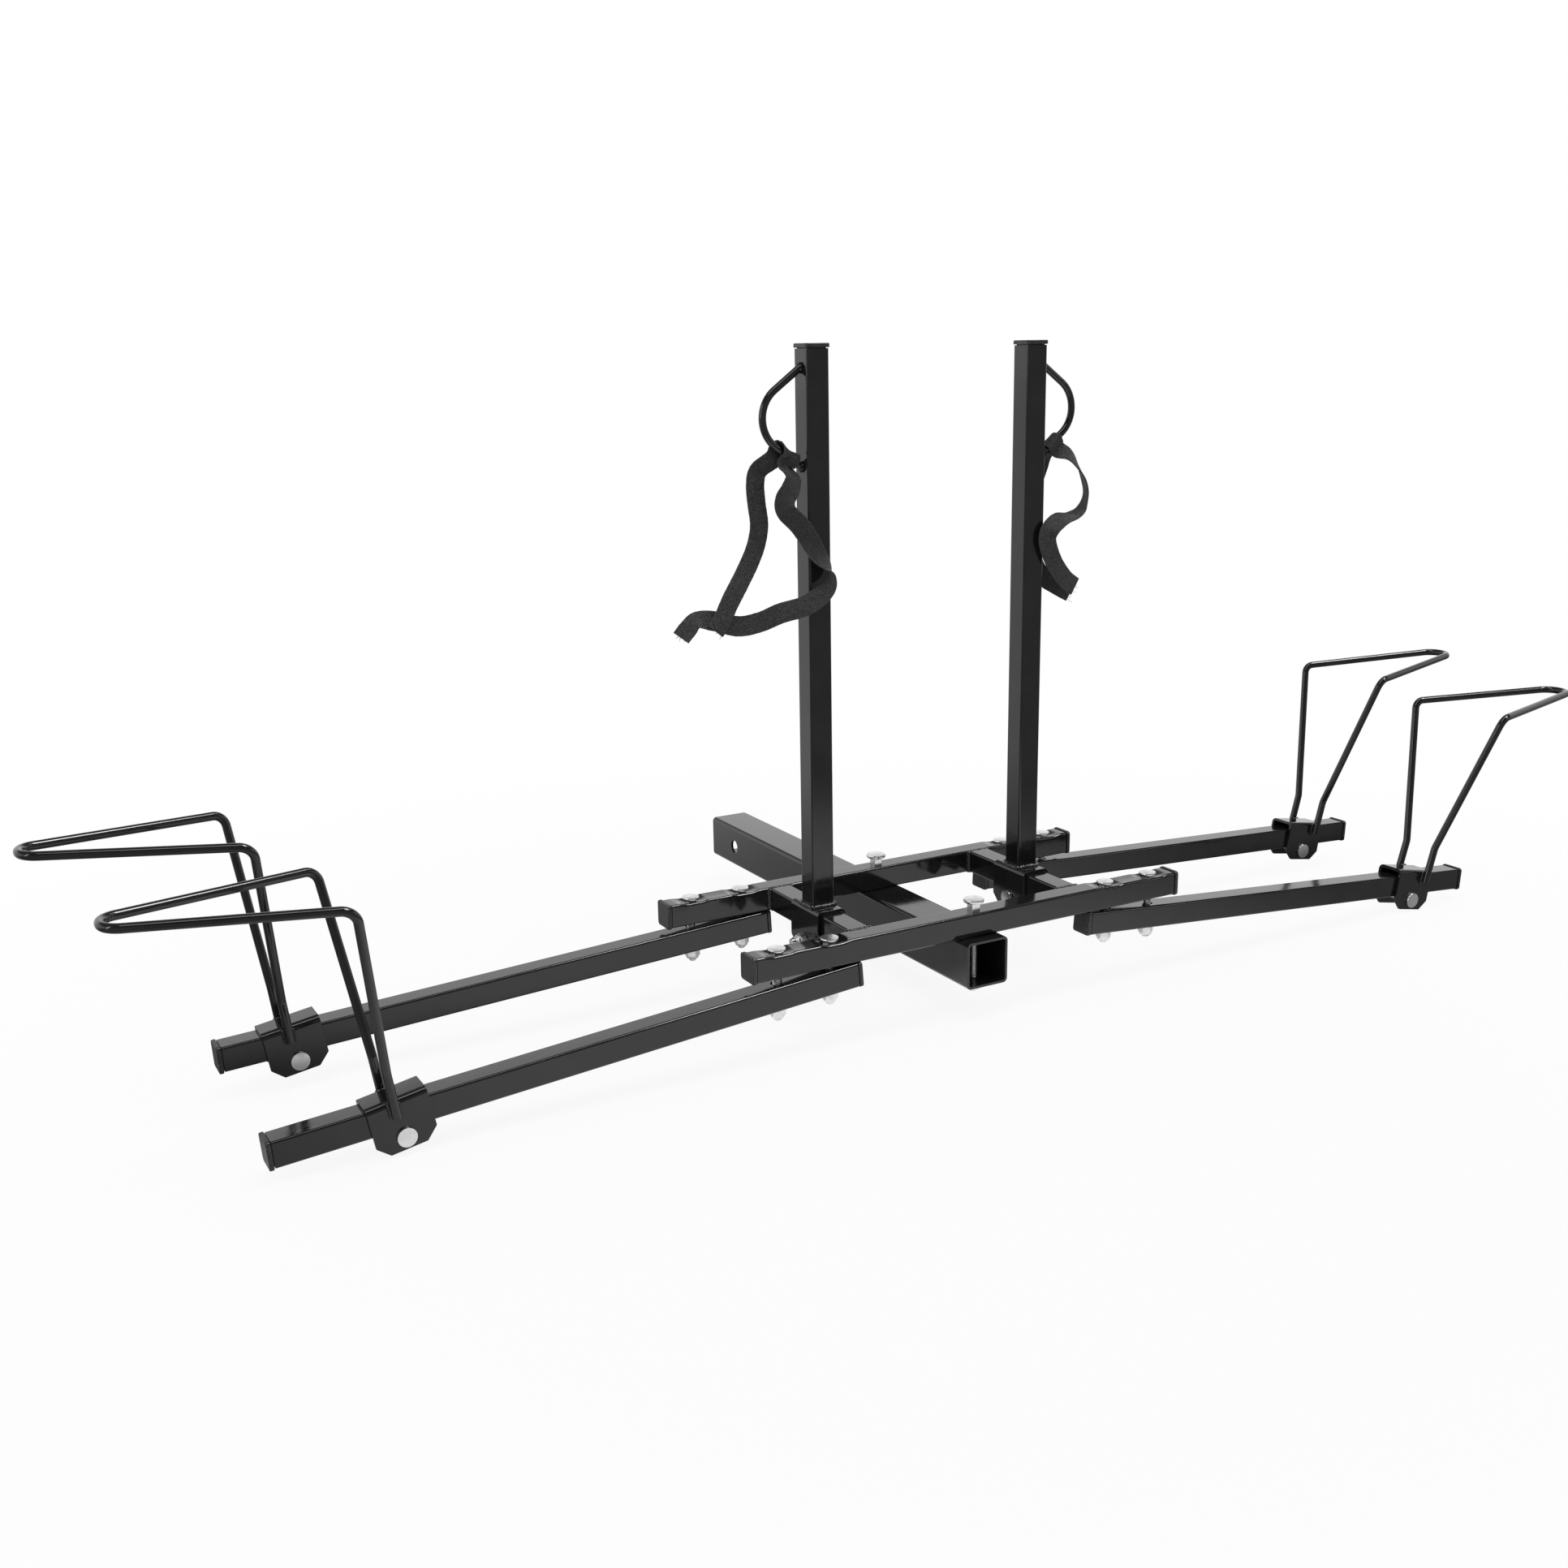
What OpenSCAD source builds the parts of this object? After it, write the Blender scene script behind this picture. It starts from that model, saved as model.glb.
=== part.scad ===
// Hitch mounted rack for two bikes, drawn in millimetres.
// A square hitch bar carries two crossbars joined by cross tubes. Two clamped masts
// hold the frames with straps, and four arms hold the wheels in bent wire loops.
// The origin is the centre of the hitch pin hole. +X runs along the arms,
// +Y along the hitch bar to the vehicle, and +Z is up.

/* [Hitch bar] */
// Outside width of the square hitch bar
hitch_w = 50.8; // [48:0.1:54]
// Wall of the hitch bar
hitch_wall = 3; // [2:0.1:5]
// Outer corner radius of the hitch bar
hitch_corner = 5; // [3.5:0.1:8]
// Length of the hitch bar
hitch_len = 579.1; // [540:0.1:700]
// Distance from the vehicle end of the bar to the pin hole
pin_inset = 60; // [40:1:80]
// Diameter of the hitch pin hole
pin_hole_d = 17; // [14:0.1:18]
// Distance from the bar's rider end to the front crossbar's centreline
front_inset = 26; // [16:0.5:34]

/* [Frame] */
// Outside width of the small square tube of crossbars, cross tubes, masts and arms
tube_w = 25.4; // [23:0.1:28]
// Wall of the small square tube
tube_wall = 1.8; // [1.2:0.1:2.4]
// Outer corner radius of the small square tube
tube_corner = 2.5; // [2:0.1:3.5]
// Width of a crossbar over its end caps
crossbar_len = 535; // [530:1:580]
// Distance between the crossbars, which is the distance between the two bikes
bar_pitch = 190.5; // [180:0.5:240]
// Clear gap between the two masts
mast_gap = 238.8; // [200:0.1:240]
// Depth of the dent that a clamp bolt presses into the top of a crossbar
dent_depth = 3; // [1:0.1:4]
// Half of the length of such a dent
dent_half = 22; // [18:0.5:26]

/* [End caps] */
// Thickness of the flange of an end cap
cap_t = 5; // [3:0.1:7]
// How far a cap's flange stands proud of the tube on each side
cap_proud = 0.5; // [0.2:0.1:1.5]
// Length of the plug of a cap inside the tube
cap_plug = 12; // [6:0.5:16]

/* [Arms] */
// Width of the rack over the outer ends of the arms
overall_len = 1470.7; // [1440:0.1:1600]
// Angle by which the front arms droop
front_droop_angle = 4.6; // [2:0.1:6]
// Angle by which the rear arms droop
rear_droop_angle = 3; // [2:0.1:6]
// Gap between the inner cap of an arm and its crossbar
arm_gap = 0.3; // [0.1:0.05:0.5]
// Distance from the end of a crossbar to its outer arm bolt
arm_bolt_inset = 33; // [32.5:0.5:36]
// Distance between the two bolts of an arm
arm_bolt_step = 60; // [52:0.5:60]
// Distance from the inner end of an arm to its inner bolt
arm_lead = 30.5; // [26:0.5:34]
// Diameter of the bolt holes through the arms
arm_hole_d = 12; // [11.6:0.1:13]

/* [Masts] */
// Height of a mast's top above the underside of the crossbars
mast_top = 599.4; // [420:0.1:700]
// Drop from the mast's top to the middle of its strap ring
ring_drop = 70.4; // [60:0.1:110]
// Half of the height of a strap ring at the mast's face
ring_half = 48; // [44:0.5:54]
// Reach of the point where the two legs of a strap ring would meet
ring_apex = 66; // [60:0.5:76]
// Bend radius of a strap ring
ring_bend = 33; // [24:0.5:36]
// Diameter of the strap ring's rod
ring_rod_d = 7.5; // [6:0.1:9]

/* [Clamp saddles] */
// Plate thickness of a clamp saddle
saddle_t = 3.5; // [2.5:0.1:5]
// Length of a clamp saddle along its tube
saddle_len = 56; // [50:0.5:62]
// Gap between a saddle's cheek and the tube it clamps
cheek_gap = 0.8; // [0.4:0.1:1.2]
// Outer bend radius of a saddle's two bends
saddle_bend = 6; // [5:0.1:7]
// Gap between a saddle and the top of the tube that it slides on
slide_gap = 0.2; // [0.1:0.05:0.3]
// Distance from the underside of the clamped tube to the clamp bolt's axis
bolt_drop = 8.3; // [8.2:0.1:12]
// Distance from the clamp bolt's axis to the lower edge of the cheeks
cheek_foot = 12; // [9:0.5:15]
// Chamfer at the lower corners of the cheeks
cheek_chamfer = 11; // [4:0.5:14]

/* [Wheel loops] */
// Distance between the rod centres of a wheel loop at its top bends
loop_width = 129.5; // [110:0.5:150]
// Diameter of the wheel loop's rod
loop_rod_d = 8.5; // [7:0.1:10]
// Height of the top bends above the arm's centreline
loop_height = 214; // [180:1:260]
// Height at which the legs begin to splay apart
loop_kink = 47; // [42:1:60]
// Height of the foot of a leg above the arm's centreline
loop_foot = 4.5; // [2:0.5:6]
// Reach of the top run beyond the top bends
loop_reach = 185; // [140:1:220]
// Angle by which the top run rises above the arm's line
loop_rise = 5.5; // [0:0.5:10]
// Radius of the top bends
loop_bend = 20; // [14:0.5:28]
// Half of the width between the corner points of the loop's tip
tip_half = 15; // [14.5:0.5:24]
// Bend radius of the loop's tip
tip_bend = 18; // [12:0.5:18]
// Bend radius of the slight kink in each leg
kink_bend = 20; // [10:1:30]
// Outward lean of the left loops against the arm's square
left_lean = 4; // [0:0.5:14]
// Outward lean of the right loops against the arm's square
right_lean = 12; // [0:0.5:14]
// Distance along the arm from a left saddle's middle to the feet of its loop
left_shift = 3; // [-8:0.5:14]
// Distance along the arm from a right saddle's middle to the feet of its loop
right_shift = 12; // [-8:0.5:14]
// Angle at which a loop's saddle sits on its arm
saddle_tilt = 6; // [0:0.5:6]
// Distance from the front left arm's outer end to its saddle's middle
front_left_inset = 114; // [40:1:400]
// Distance from the rear left arm's outer end to its saddle's middle
rear_left_inset = 70; // [40:1:400]
// Distance from the front right arm's outer end to its saddle's middle
front_right_inset = 87; // [40:1:400]
// Distance from the rear right arm's outer end to its saddle's middle
rear_right_inset = 78; // [40:1:400]

/* [Clamp bolts] */
// Shank diameter of the clamp and arm bolts
bolt_d = 9.5; // [8:0.1:9.5]
// Head diameter of the clamp and arm bolts
bolt_head_d = 20.6; // [17:0.1:22]
// Head height of the clamp and arm bolts
bolt_head_h = 4.5; // [3:0.1:6]
// Length of a clamp bolt under its head
clamp_bolt_len = 50.8; // [48:0.1:60]
// Height of the square neck under an arm bolt's head
arm_neck = 4; // [3:0.1:6]
// Length of every bolt's end beyond its nut
bolt_tail = 3; // [1:0.5:8]
// Width across flats of the nuts of these bolts
nut_af = 14.3; // [13:0.1:16]
// Height of the nuts of these bolts
nut_h = 10; // [7:0.1:12]

/* [Hitch bolts] */
// Shank diameter of the two bolts that hold the crossbars on the hitch bar
hitch_bolt_d = 10; // [8:0.1:10.5]
// Head diameter of a hitch bolt
hitch_head_d = 24; // [20:0.1:26]
// Head height of a hitch bolt
hitch_head_h = 5; // [3:0.1:7]
// Height of the square neck under a hitch bolt's head
hitch_neck = 9; // [5:0.1:12]
// Width across flats of a hitch bolt's nut
hitch_nut_af = 17; // [15:0.1:19]
// Height of a hitch bolt's nut
hitch_nut_h = 10; // [7:0.1:12]

/* [Straps] */
// Width of a strap
strap_w = 20; // [16:0.5:24]
// Thickness of a strap
strap_t = 2; // [1.2:0.1:2.2]
// Gap between a strap and the ring that it hangs on
strap_gap = 0.6; // [0.3:0.05:1]
// Length of a strap's straight run on each side of its ring
strap_straight = 9; // [8:0.5:10]

/* [Welds] */
// Leg of the fillet welds at tube joints
weld_leg = 4; // [2:0.1:5]
// Radius of the round weld beads
weld_r = 3.5; // [3:0.1:4]

/* [Hidden] */
$fn = 48;

sides = [-1, 1];
left = -1;
right = 1;
black_paint = "#1c1c1e";
black_cap = "#2a2a2b";
zinc = "#c9cbcd";
steel = "#8f9193";
webbing = "#262627";

front_y = pin_inset - hitch_len + front_inset;
rear_y = front_y + bar_pitch;
middle_y = (front_y + rear_y) / 2;
bar_bottom = hitch_w / 2;
bar_top = bar_bottom + tube_w;
mast_x = (mast_gap + tube_w) / 2;
mast_z = bar_bottom + mast_top;
bolt_hole_d = bolt_d + 0.5;
hitch_hole_d = hitch_bolt_d + 1;
arm_bolt_x = crossbar_len / 2 - arm_bolt_inset - arm_bolt_step;
arm_bolt_xs = [arm_bolt_x, arm_bolt_x + arm_bolt_step];
arm_split = 2 * (arm_bolt_x - arm_lead);
arm_top = bar_bottom - arm_gap - cap_proud;
arm_length = (overall_len - arm_split) / 2 / cos(front_droop_angle);
contact_gap = 0.05;
thread_gap = 0.05;
plug_gap = 0.3;
rod_sides = 16;
rod_step = 10;
plug_wall = 1.5;
min_corner = 0.5;
head_rim = 1;
nut_collar = 0.28;
collar_foot = 0.4;
collar_lip = 1.2;
dent_flat = (bolt_d + dent_depth) / 2;
dent_steps = 16;
bead_r = 0.8 * weld_r;
mast_bead_out = 1;
ring_bead = 2;
loop_bead = 2;
loop_bead_in = 2.2;
loop_bead_gap = 1.2;
strap_steps = 3;
saddle_in = tube_w + 2 * cheek_gap;
saddle_out = saddle_in + 2 * saddle_t;
saddle_foot = tube_w + bolt_drop + cheek_foot;
saddle_seat = bar_top + slide_gap;
saddle_lift = saddle_len / 2 * sin(saddle_tilt) + slide_gap;
leg_y = saddle_out / 2 + loop_rod_d / 2 + contact_gap;
ring_z = mast_z - ring_drop;
ring_slope = atan(ring_half / ring_apex);
strap_lift = ring_rod_d / 2 + strap_gap + strap_t / 2;

function unit(v) = v / norm(v);

// A square with rounded corners, centred on the origin
module rounded_square(w, r) {
    square([w, w - 2 * r], center = true);
    square([w - 2 * r, w], center = true);
    for (x = sides, y = sides)
        translate([x * (w / 2 - r), y * (w / 2 - r)]) circle(r = r);
}

// A square bar along Z that starts at the origin
module square_bar(w, r, length) {
    linear_extrude(length) rounded_square(w, r);
}

// A square tube along Z that starts at the origin
module square_tube(w, wall, r, length) {
    linear_extrude(length)
        difference() {
            rounded_square(w, r);
            rounded_square(w - 2 * wall, max(r - wall, min_corner));
        }
}

module small_tube(length) {
    square_tube(tube_w, tube_wall, tube_corner, length);
}

// An end cap whose flange stands on the tube's end at the origin, facing +Z
module end_cap(plug = cap_plug) {
    plug_w = tube_w - 2 * tube_wall - 2 * plug_gap;
    square_bar(tube_w + 2 * cap_proud, tube_corner + cap_proud, cap_t);
    translate([0, 0, -plug])
        linear_extrude(plug)
            difference() {
                square(plug_w, center = true);
                square(plug_w - 2 * plug_wall, center = true);
            }
}

// A round headed bolt: the head's underside is at the origin, the shank points to -Z
module carriage_bolt(d, head_d, head_h, neck_h, length) {
    dome = head_h - head_rim;
    ball = (head_d * head_d / 4 + dome * dome) / (2 * dome);
    translate([0, 0, -length]) cylinder(d = d, h = length);
    translate([0, 0, -neck_h / 2]) cube([d, d, neck_h], center = true);
    intersection() {
        cylinder(d = head_d, h = head_h, $fn = 96);
        translate([0, 0, head_h - ball]) sphere(r = ball, $fn = 96);
    }
}

// A lock nut with its bearing face at the origin, pointing to -Z, corners along X
module lock_nut(af, h, d) {
    corner = af / sqrt(3);
    collar = nut_collar * h;
    difference() {
        union() {
            translate([0, 0, -h + collar])
                intersection() {
                    cylinder(r = corner, h = h - collar, $fn = 6);
                    cylinder(r1 = af / 2, r2 = af / 2 + h - collar, h = h - collar);
                }
            translate([0, 0, -h])
                cylinder(r1 = af / 2 - collar_lip, r2 = af / 2 - collar_foot, h = collar);
        }
        translate([0, 0, -h - 1]) cylinder(d = d + 2 * thread_gap, h = h + 2);
    }
}

// Moves a right hand piece to the given side of the rack
module on_side(side) {
    if (side < 0) mirror([1, 0, 0]) children();
    else children();
}

// A straight length of rod between two points
module rod_between(a, b, d) {
    run = b - a;
    translate(a)
        rotate([0, acos(run.z / norm(run)), atan2(run.y, run.x)])
            cylinder(d = d, h = norm(run));
}

function turn(before, corner, after) =
    180 - acos(unit(before - corner) * unit(after - corner));
function setback(before, corner, after, r) = r * tan(turn(before, corner, after) / 2);

// Rows of [point, direction] along a bend, from its start to its end
function bend_rows(before, corner, after, r, steps) =
    let (
        bend = turn(before, corner, after),
        y = unit(corner - before),
        start = corner - y * setback(before, corner, after, r),
        centre = corner
            + unit(unit(before - corner) + unit(after - corner)) * r / cos(bend / 2),
        x = unit(start - centre)
    )
    [for (i = [0:steps]) let (a = bend * i / steps)
        [centre + r * (cos(a) * x + sin(a) * y), cos(a) * y - sin(a) * x]];

// Number of steps in which a bend of an angle is drawn
function bend_steps(angle) = ceil(angle / rod_step);

// Rows along a whole route with a bend radius for each inner point
function rod_rows(route, bends) =
    let (last = len(route) - 1)
    concat(
        [[route[0], unit(route[1] - route[0])]],
        [for (i = [1:last - 1]) each bend_rows(route[i - 1], route[i], route[i + 1],
            bends[i - 1], bend_steps(turn(route[i - 1], route[i], route[i + 1])))],
        [[route[last], unit(route[last] - route[last - 1])]]
    );

function square_to(v, way) = unit(v - way * (v * way));

// A bent rod along a route, swept along its rows without any twist
module swept_rod(route, bends, d) {
    rows = rod_rows(route, bends);
    last = len(rows) - 1;
    ups = [for (i = 0, up = square_to([1, 0, 0], rows[0][1]); i <= last;
        i = i + 1, up = i <= last ? square_to(up, rows[i][1]) : up) up];
    corners = [for (i = [0:last])
        let (side = cross(rows[i][1], ups[i]))
        for (k = [0:rod_sides - 1])
            let (a = 360 * k / rod_sides)
            rows[i][0] + d / 2 * (cos(a) * ups[i] + sin(a) * side)];
    walls = [for (i = [0:last - 1], k = [0:rod_sides - 1])
        let (a = rod_sides * i + k, b = rod_sides * i + (k + 1) % rod_sides)
        each [[a, b + rod_sides, b], [a, a + rod_sides, b + rod_sides]]];
    ends = [for (k = [1:rod_sides - 2])
        each [[0, k, k + 1], [rod_sides * last, rod_sides * last + k + 1, rod_sides * last + k]]];
    polyhedron(corners, concat(walls, ends));
}

module hitch_bar() {
    color(black_paint)
        difference() {
            translate([0, pin_inset, 0])
                rotate([90, 0, 0]) square_tube(hitch_w, hitch_wall, hitch_corner, hitch_len);
            rotate([0, 90, 0]) cylinder(d = pin_hole_d, h = 2 * hitch_w, center = true);
            for (y = [front_y, rear_y])
                translate([0, y, 0]) cylinder(d = hitch_hole_d, h = 2 * hitch_w, center = true);
        }
}

// Depth of a dent at a distance from its bolt
function dent_at(distance) = distance < dent_flat
    ? dent_depth
    : dent_depth * (1 + cos(180 * (distance - dent_flat) / (dent_half - dent_flat))) / 2;

// What a dent takes from the top of a bar, lowered by a given depth, in the XZ plane
module dent_outline(lowered) {
    top = bar_top - lowered;
    curve = [for (i = [-dent_steps:dent_steps])
        let (x = dent_half * i / dent_steps) [x, top - dent_at(abs(x))]];
    polygon(concat(curve, [[dent_half, top + tube_w], [-dent_half, top + tube_w]]));
}

module dents(lowered) {
    for (side = sides, x = arm_bolt_xs)
        translate([side * x, tube_w, 0]) rotate([90, 0, 0])
            linear_extrude(2 * tube_w) dent_outline(lowered);
}

module crossbar_outside(length) {
    translate([-length / 2, 0, bar_bottom + tube_w / 2])
        rotate([0, 90, 0]) square_bar(tube_w, tube_corner, length);
}

module crossbar(y) {
    length = crossbar_len - 2 * cap_t;
    translate([0, y, 0])
        difference() {
            difference() {
                crossbar_outside(length);
                dents(0);
            }
            difference() {
                translate([-length / 2 - 1, 0, bar_bottom + tube_w / 2])
                    rotate([0, 90, 0])
                        square_bar(tube_w - 2 * tube_wall, max(tube_corner - tube_wall, min_corner),
                            length + 2);
                dents(tube_wall);
            }
            for (side = sides, x = arm_bolt_xs)
                translate([side * x, 0, 0]) cylinder(d = bolt_hole_d, h = 2 * bar_top);
            cylinder(d = hitch_hole_d, h = 2 * bar_top);
        }
}

module crossbar_front() {
    color(black_paint) crossbar(front_y);
}

module crossbar_rear() {
    color(black_paint) crossbar(rear_y);
}

// A cross tube runs between the two crossbars under a mast
module cross_tube(side) {
    translate([side * mast_x, rear_y - tube_w / 2, bar_bottom + tube_w / 2])
        rotate([90, 0, 0]) small_tube(bar_pitch - tube_w);
}

module cross_tube_left() {
    color(black_paint) cross_tube(left);
}

module cross_tube_right() {
    color(black_paint) cross_tube(right);
}

// The welds of one end of a right hand cross tube, drawn at the front crossbar
module tube_end_welds() {
    flat = tube_w - 2 * tube_corner;
    seam_y = front_y + tube_w / 2;
    for (side = sides)
        translate([mast_x + side * tube_w / 2, seam_y, bar_bottom + tube_corner])
            linear_extrude(flat) polygon([[0, 0], [side * weld_leg, 0], [0, weld_leg]]);
    for (z = [bar_bottom + tube_corner / 2, bar_top - tube_corner / 2])
        difference() {
            translate([mast_x - flat / 2, seam_y - tube_corner / 4, z])
                rotate([0, 90, 0]) cylinder(r = bead_r, h = flat);
            translate([0, front_y, 0]) crossbar_outside(crossbar_len);
            translate([0, seam_y, bar_bottom]) cube([2 * mast_x, tube_w, tube_w]);
        }
}

module frame_welds() {
    color(black_paint)
        for (side = sides)
            on_side(side) {
                tube_end_welds();
                translate([0, 2 * middle_y, 0]) mirror([0, 1, 0]) tube_end_welds();
            }
}

// The plug of a crossbar's cap stops short of the dent next to it
bar_plug = min(cap_plug, arm_bolt_inset - cap_t - dent_half - plug_gap);

module crossbar_caps() {
    color(black_cap)
        for (side = sides, y = [front_y, rear_y])
            on_side(side)
                translate([crossbar_len / 2 - cap_t, y, bar_bottom + tube_w / 2])
                    rotate([0, 90, 0]) end_cap(bar_plug);
}

// The arm's own frame: X outward along the arm, Z square to it, origin on the top inner edge
module in_arm(side, y, droop) {
    on_side(side)
        translate([arm_split / 2, y, arm_top]) rotate([0, droop, 0]) children();
}

// Distance along an arm at which a bolt at x crosses the arm's centreline
function arm_station(x, droop) =
    (x - arm_split / 2 + tube_w / 2 * sin(droop)) / cos(droop);

module arm(side, y, droop) {
    color(black_paint)
        in_arm(side, y, droop)
            difference() {
                translate([cap_t, 0, -tube_w / 2])
                    rotate([0, 90, 0]) small_tube(arm_length - 2 * cap_t);
                for (x = arm_bolt_xs)
                    translate([arm_station(x, droop), 0, -tube_w / 2])
                        cylinder(d = arm_hole_d, h = 2 * tube_w, center = true);
            }
}

module arm_front_left() {
    arm(left, front_y, front_droop_angle);
}

module arm_front_right() {
    arm(right, front_y, front_droop_angle);
}

module arm_rear_left() {
    arm(left, rear_y, rear_droop_angle);
}

module arm_rear_right() {
    arm(right, rear_y, rear_droop_angle);
}

// Every arm of the rack as side, place and droop
arms = [for (side = sides) each [[side, front_y, front_droop_angle], [side, rear_y, rear_droop_angle]]];

module arm_outer_caps() {
    color(black_cap)
        for (a = arms)
            in_arm(a[0], a[1], a[2])
                translate([arm_length - cap_t, 0, -tube_w / 2]) rotate([0, 90, 0]) end_cap();
}

module arm_inner_caps() {
    color(black_cap)
        for (a = arms)
            in_arm(a[0], a[1], a[2])
                translate([cap_t, 0, -tube_w / 2]) rotate([0, -90, 0]) end_cap();
}

// Height at which the nut under an arm meets the drooping underside with one edge
function arm_nut_top(x, droop) =
    arm_top - (x + nut_af / sqrt(3) - arm_split / 2) * tan(droop)
    - tube_w / cos(droop) - contact_gap;

module arm_bolts() {
    head_z = bar_top - dent_depth + arm_neck;
    color(zinc)
        for (a = arms, x = arm_bolt_xs)
            translate([a[0] * x, a[1], head_z])
                carriage_bolt(bolt_d, bolt_head_d, bolt_head_h, arm_neck,
                    head_z - arm_nut_top(x, a[2]) + nut_h + bolt_tail);
}

module arm_nuts() {
    color(steel)
        for (a = arms, x = arm_bolt_xs)
            translate([a[0] * x, a[1], arm_nut_top(x, a[2])]) lock_nut(nut_af, nut_h, bolt_d);
}

module hitch_bolts() {
    color(zinc)
        for (y = [front_y, rear_y])
            translate([0, y, bar_top + hitch_neck])
                carriage_bolt(hitch_bolt_d, hitch_head_d, hitch_head_h, hitch_neck,
                    hitch_neck + tube_w + hitch_w + hitch_nut_h + bolt_tail);
}

module hitch_nuts() {
    color(steel)
        for (y = [front_y, rear_y])
            translate([0, y, -hitch_w / 2]) lock_nut(hitch_nut_af, hitch_nut_h, hitch_bolt_d);
}

// A bent plate that straddles a tube along X, with the tube's top face at the origin
module saddle_blank() {
    height = saddle_foot + saddle_t;
    translate([-saddle_len / 2, 0, 0])
        rotate([90, 0, 90])
            linear_extrude(saddle_len) {
                translate([-saddle_out / 2, -saddle_foot])
                    square([saddle_out, height - saddle_bend]);
                translate([-saddle_out / 2 + saddle_bend, -saddle_foot])
                    square([saddle_out - 2 * saddle_bend, height]);
                for (side = sides)
                    translate([side * (saddle_out / 2 - saddle_bend), saddle_t - saddle_bend])
                        circle(r = saddle_bend);
            }
}

module saddle() {
    inner_bend = saddle_bend - saddle_t;
    difference() {
        saddle_blank();
        translate([-saddle_len, 0, 0])
            rotate([90, 0, 90])
                linear_extrude(2 * saddle_len) {
                    translate([-saddle_in / 2, -2 * saddle_foot])
                        square([saddle_in, 2 * saddle_foot - inner_bend]);
                    translate([-saddle_in / 2 + inner_bend, -saddle_foot])
                        square([saddle_in - 2 * inner_bend, saddle_foot]);
                    for (side = sides)
                        translate([side * (saddle_in / 2 - inner_bend), -inner_bend])
                            circle(r = inner_bend);
                }
        for (side = sides)
            translate([side * saddle_len / 2, saddle_out, -saddle_foot])
                rotate([90, 0, 0])
                    linear_extrude(2 * saddle_out)
                        polygon([[side, -1], [-side * cheek_chamfer, -1],
                            [-side * cheek_chamfer, 0], [0, cheek_chamfer],
                            [side, cheek_chamfer]]);
        translate([0, 0, -tube_w - bolt_drop]) {
            rotate([-90, 0, 0]) cylinder(d = bolt_hole_d, h = saddle_out);
            translate([0, -saddle_out / 2, 0])
                cube([bolt_hole_d, saddle_out / 2, bolt_hole_d], center = true);
        }
    }
}

// The clamp bolt of a saddle, with its head on the -Y cheek
module saddle_bolt() {
    translate([0, -saddle_out / 2, -tube_w - bolt_drop])
        rotate([90, 0, 0])
            carriage_bolt(bolt_d, bolt_head_d, bolt_head_h, saddle_t, clamp_bolt_len);
}

module saddle_nut() {
    translate([0, saddle_out / 2, -tube_w - bolt_drop])
        rotate([90, 0, 0]) lock_nut(nut_af, nut_h, bolt_d);
}

// The frame of a mast's saddle: X along the cross tube, -Y towards the rack's middle
module in_mast_saddle(side) {
    on_side(side)
        translate([mast_x, middle_y, saddle_seat]) rotate([0, 0, -90]) children();
}

module mast(side) {
    foot = saddle_seat + saddle_t;
    color(black_paint)
        translate([side * mast_x, middle_y, foot]) small_tube(mast_z - cap_t - foot);
}

module mast_cap(side) {
    color(black_cap) translate([side * mast_x, middle_y, mast_z - cap_t]) end_cap();
}

module mast_saddle(side) {
    color(black_paint) in_mast_saddle(side) saddle();
}

module mast_bolt(side) {
    color(zinc) in_mast_saddle(side) saddle_bolt();
}

module mast_nut(side) {
    color(steel) in_mast_saddle(side) saddle_nut();
}

// The solid outline of a mast from its foot up
module mast_outside() {
    translate([0, 0, saddle_t]) square_bar(tube_w, tube_corner, mast_top);
}

module mast_weld(side) {
    flat = tube_w - 2 * tube_corner;
    color(black_paint) {
        in_mast_saddle(side) {
            for (end = sides)
                translate([end * tube_w / 2, flat / 2, saddle_t])
                    rotate([90, 0, 0])
                        linear_extrude(flat)
                            polygon([[0, 0], [end * weld_leg, 0], [0, weld_leg]]);
            for (end = sides)
                difference() {
                    translate([-flat / 2, end * (tube_w / 2 + mast_bead_out), saddle_t - mast_bead_out])
                        rotate([0, 90, 0]) cylinder(r = weld_r, h = flat);
                    saddle_blank();
                    mast_outside();
                }
        }
        on_side(side)
            for (end = sides)
                difference() {
                    translate(ring_point(0, end)) sphere(r = ring_rod_d / 2 + ring_bead);
                    inside_mast_face();
                    rod_between(ring_point(0, end) - ring_leg(end) * ring_rod_d * 2,
                        ring_point(0, end) + ring_leg(end) * ring_rod_d * 4, ring_rod_d);
                }
    }
}

// Direction of the upper or lower leg of a strap ring, from the mast outward
function ring_leg(end) = [cos(ring_slope), 0, -end * sin(ring_slope)];
// The point on that leg at a distance from the mast's face
function ring_point(out, end) =
    [mast_x + tube_w / 2 + out, middle_y, ring_z + end * (ring_half - out * tan(ring_slope))];

// Everything on the inner side of a mast's outer face
module inside_mast_face() {
    translate([0, middle_y - tube_w, ring_z - mast_top])
        cube([mast_x + tube_w / 2, 2 * tube_w, 2 * mast_top]);
}

module strap_ring(side) {
    color(black_paint)
        on_side(side)
            difference() {
                swept_rod([ring_point(-tube_w / 2, 1), ring_point(ring_apex, 1),
                    ring_point(-tube_w / 2, -1)], [ring_bend], ring_rod_d);
                inside_mast_face();
            }
}

// A point of a curve through four neighbouring rows
function between_rows(a, b, c, d, t) =
    0.5 * (2 * b + (c - a) * t + (2 * a - 5 * b + 4 * c - d) * t * t
        + (3 * b - a - 3 * c + d) * t * t * t);

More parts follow.
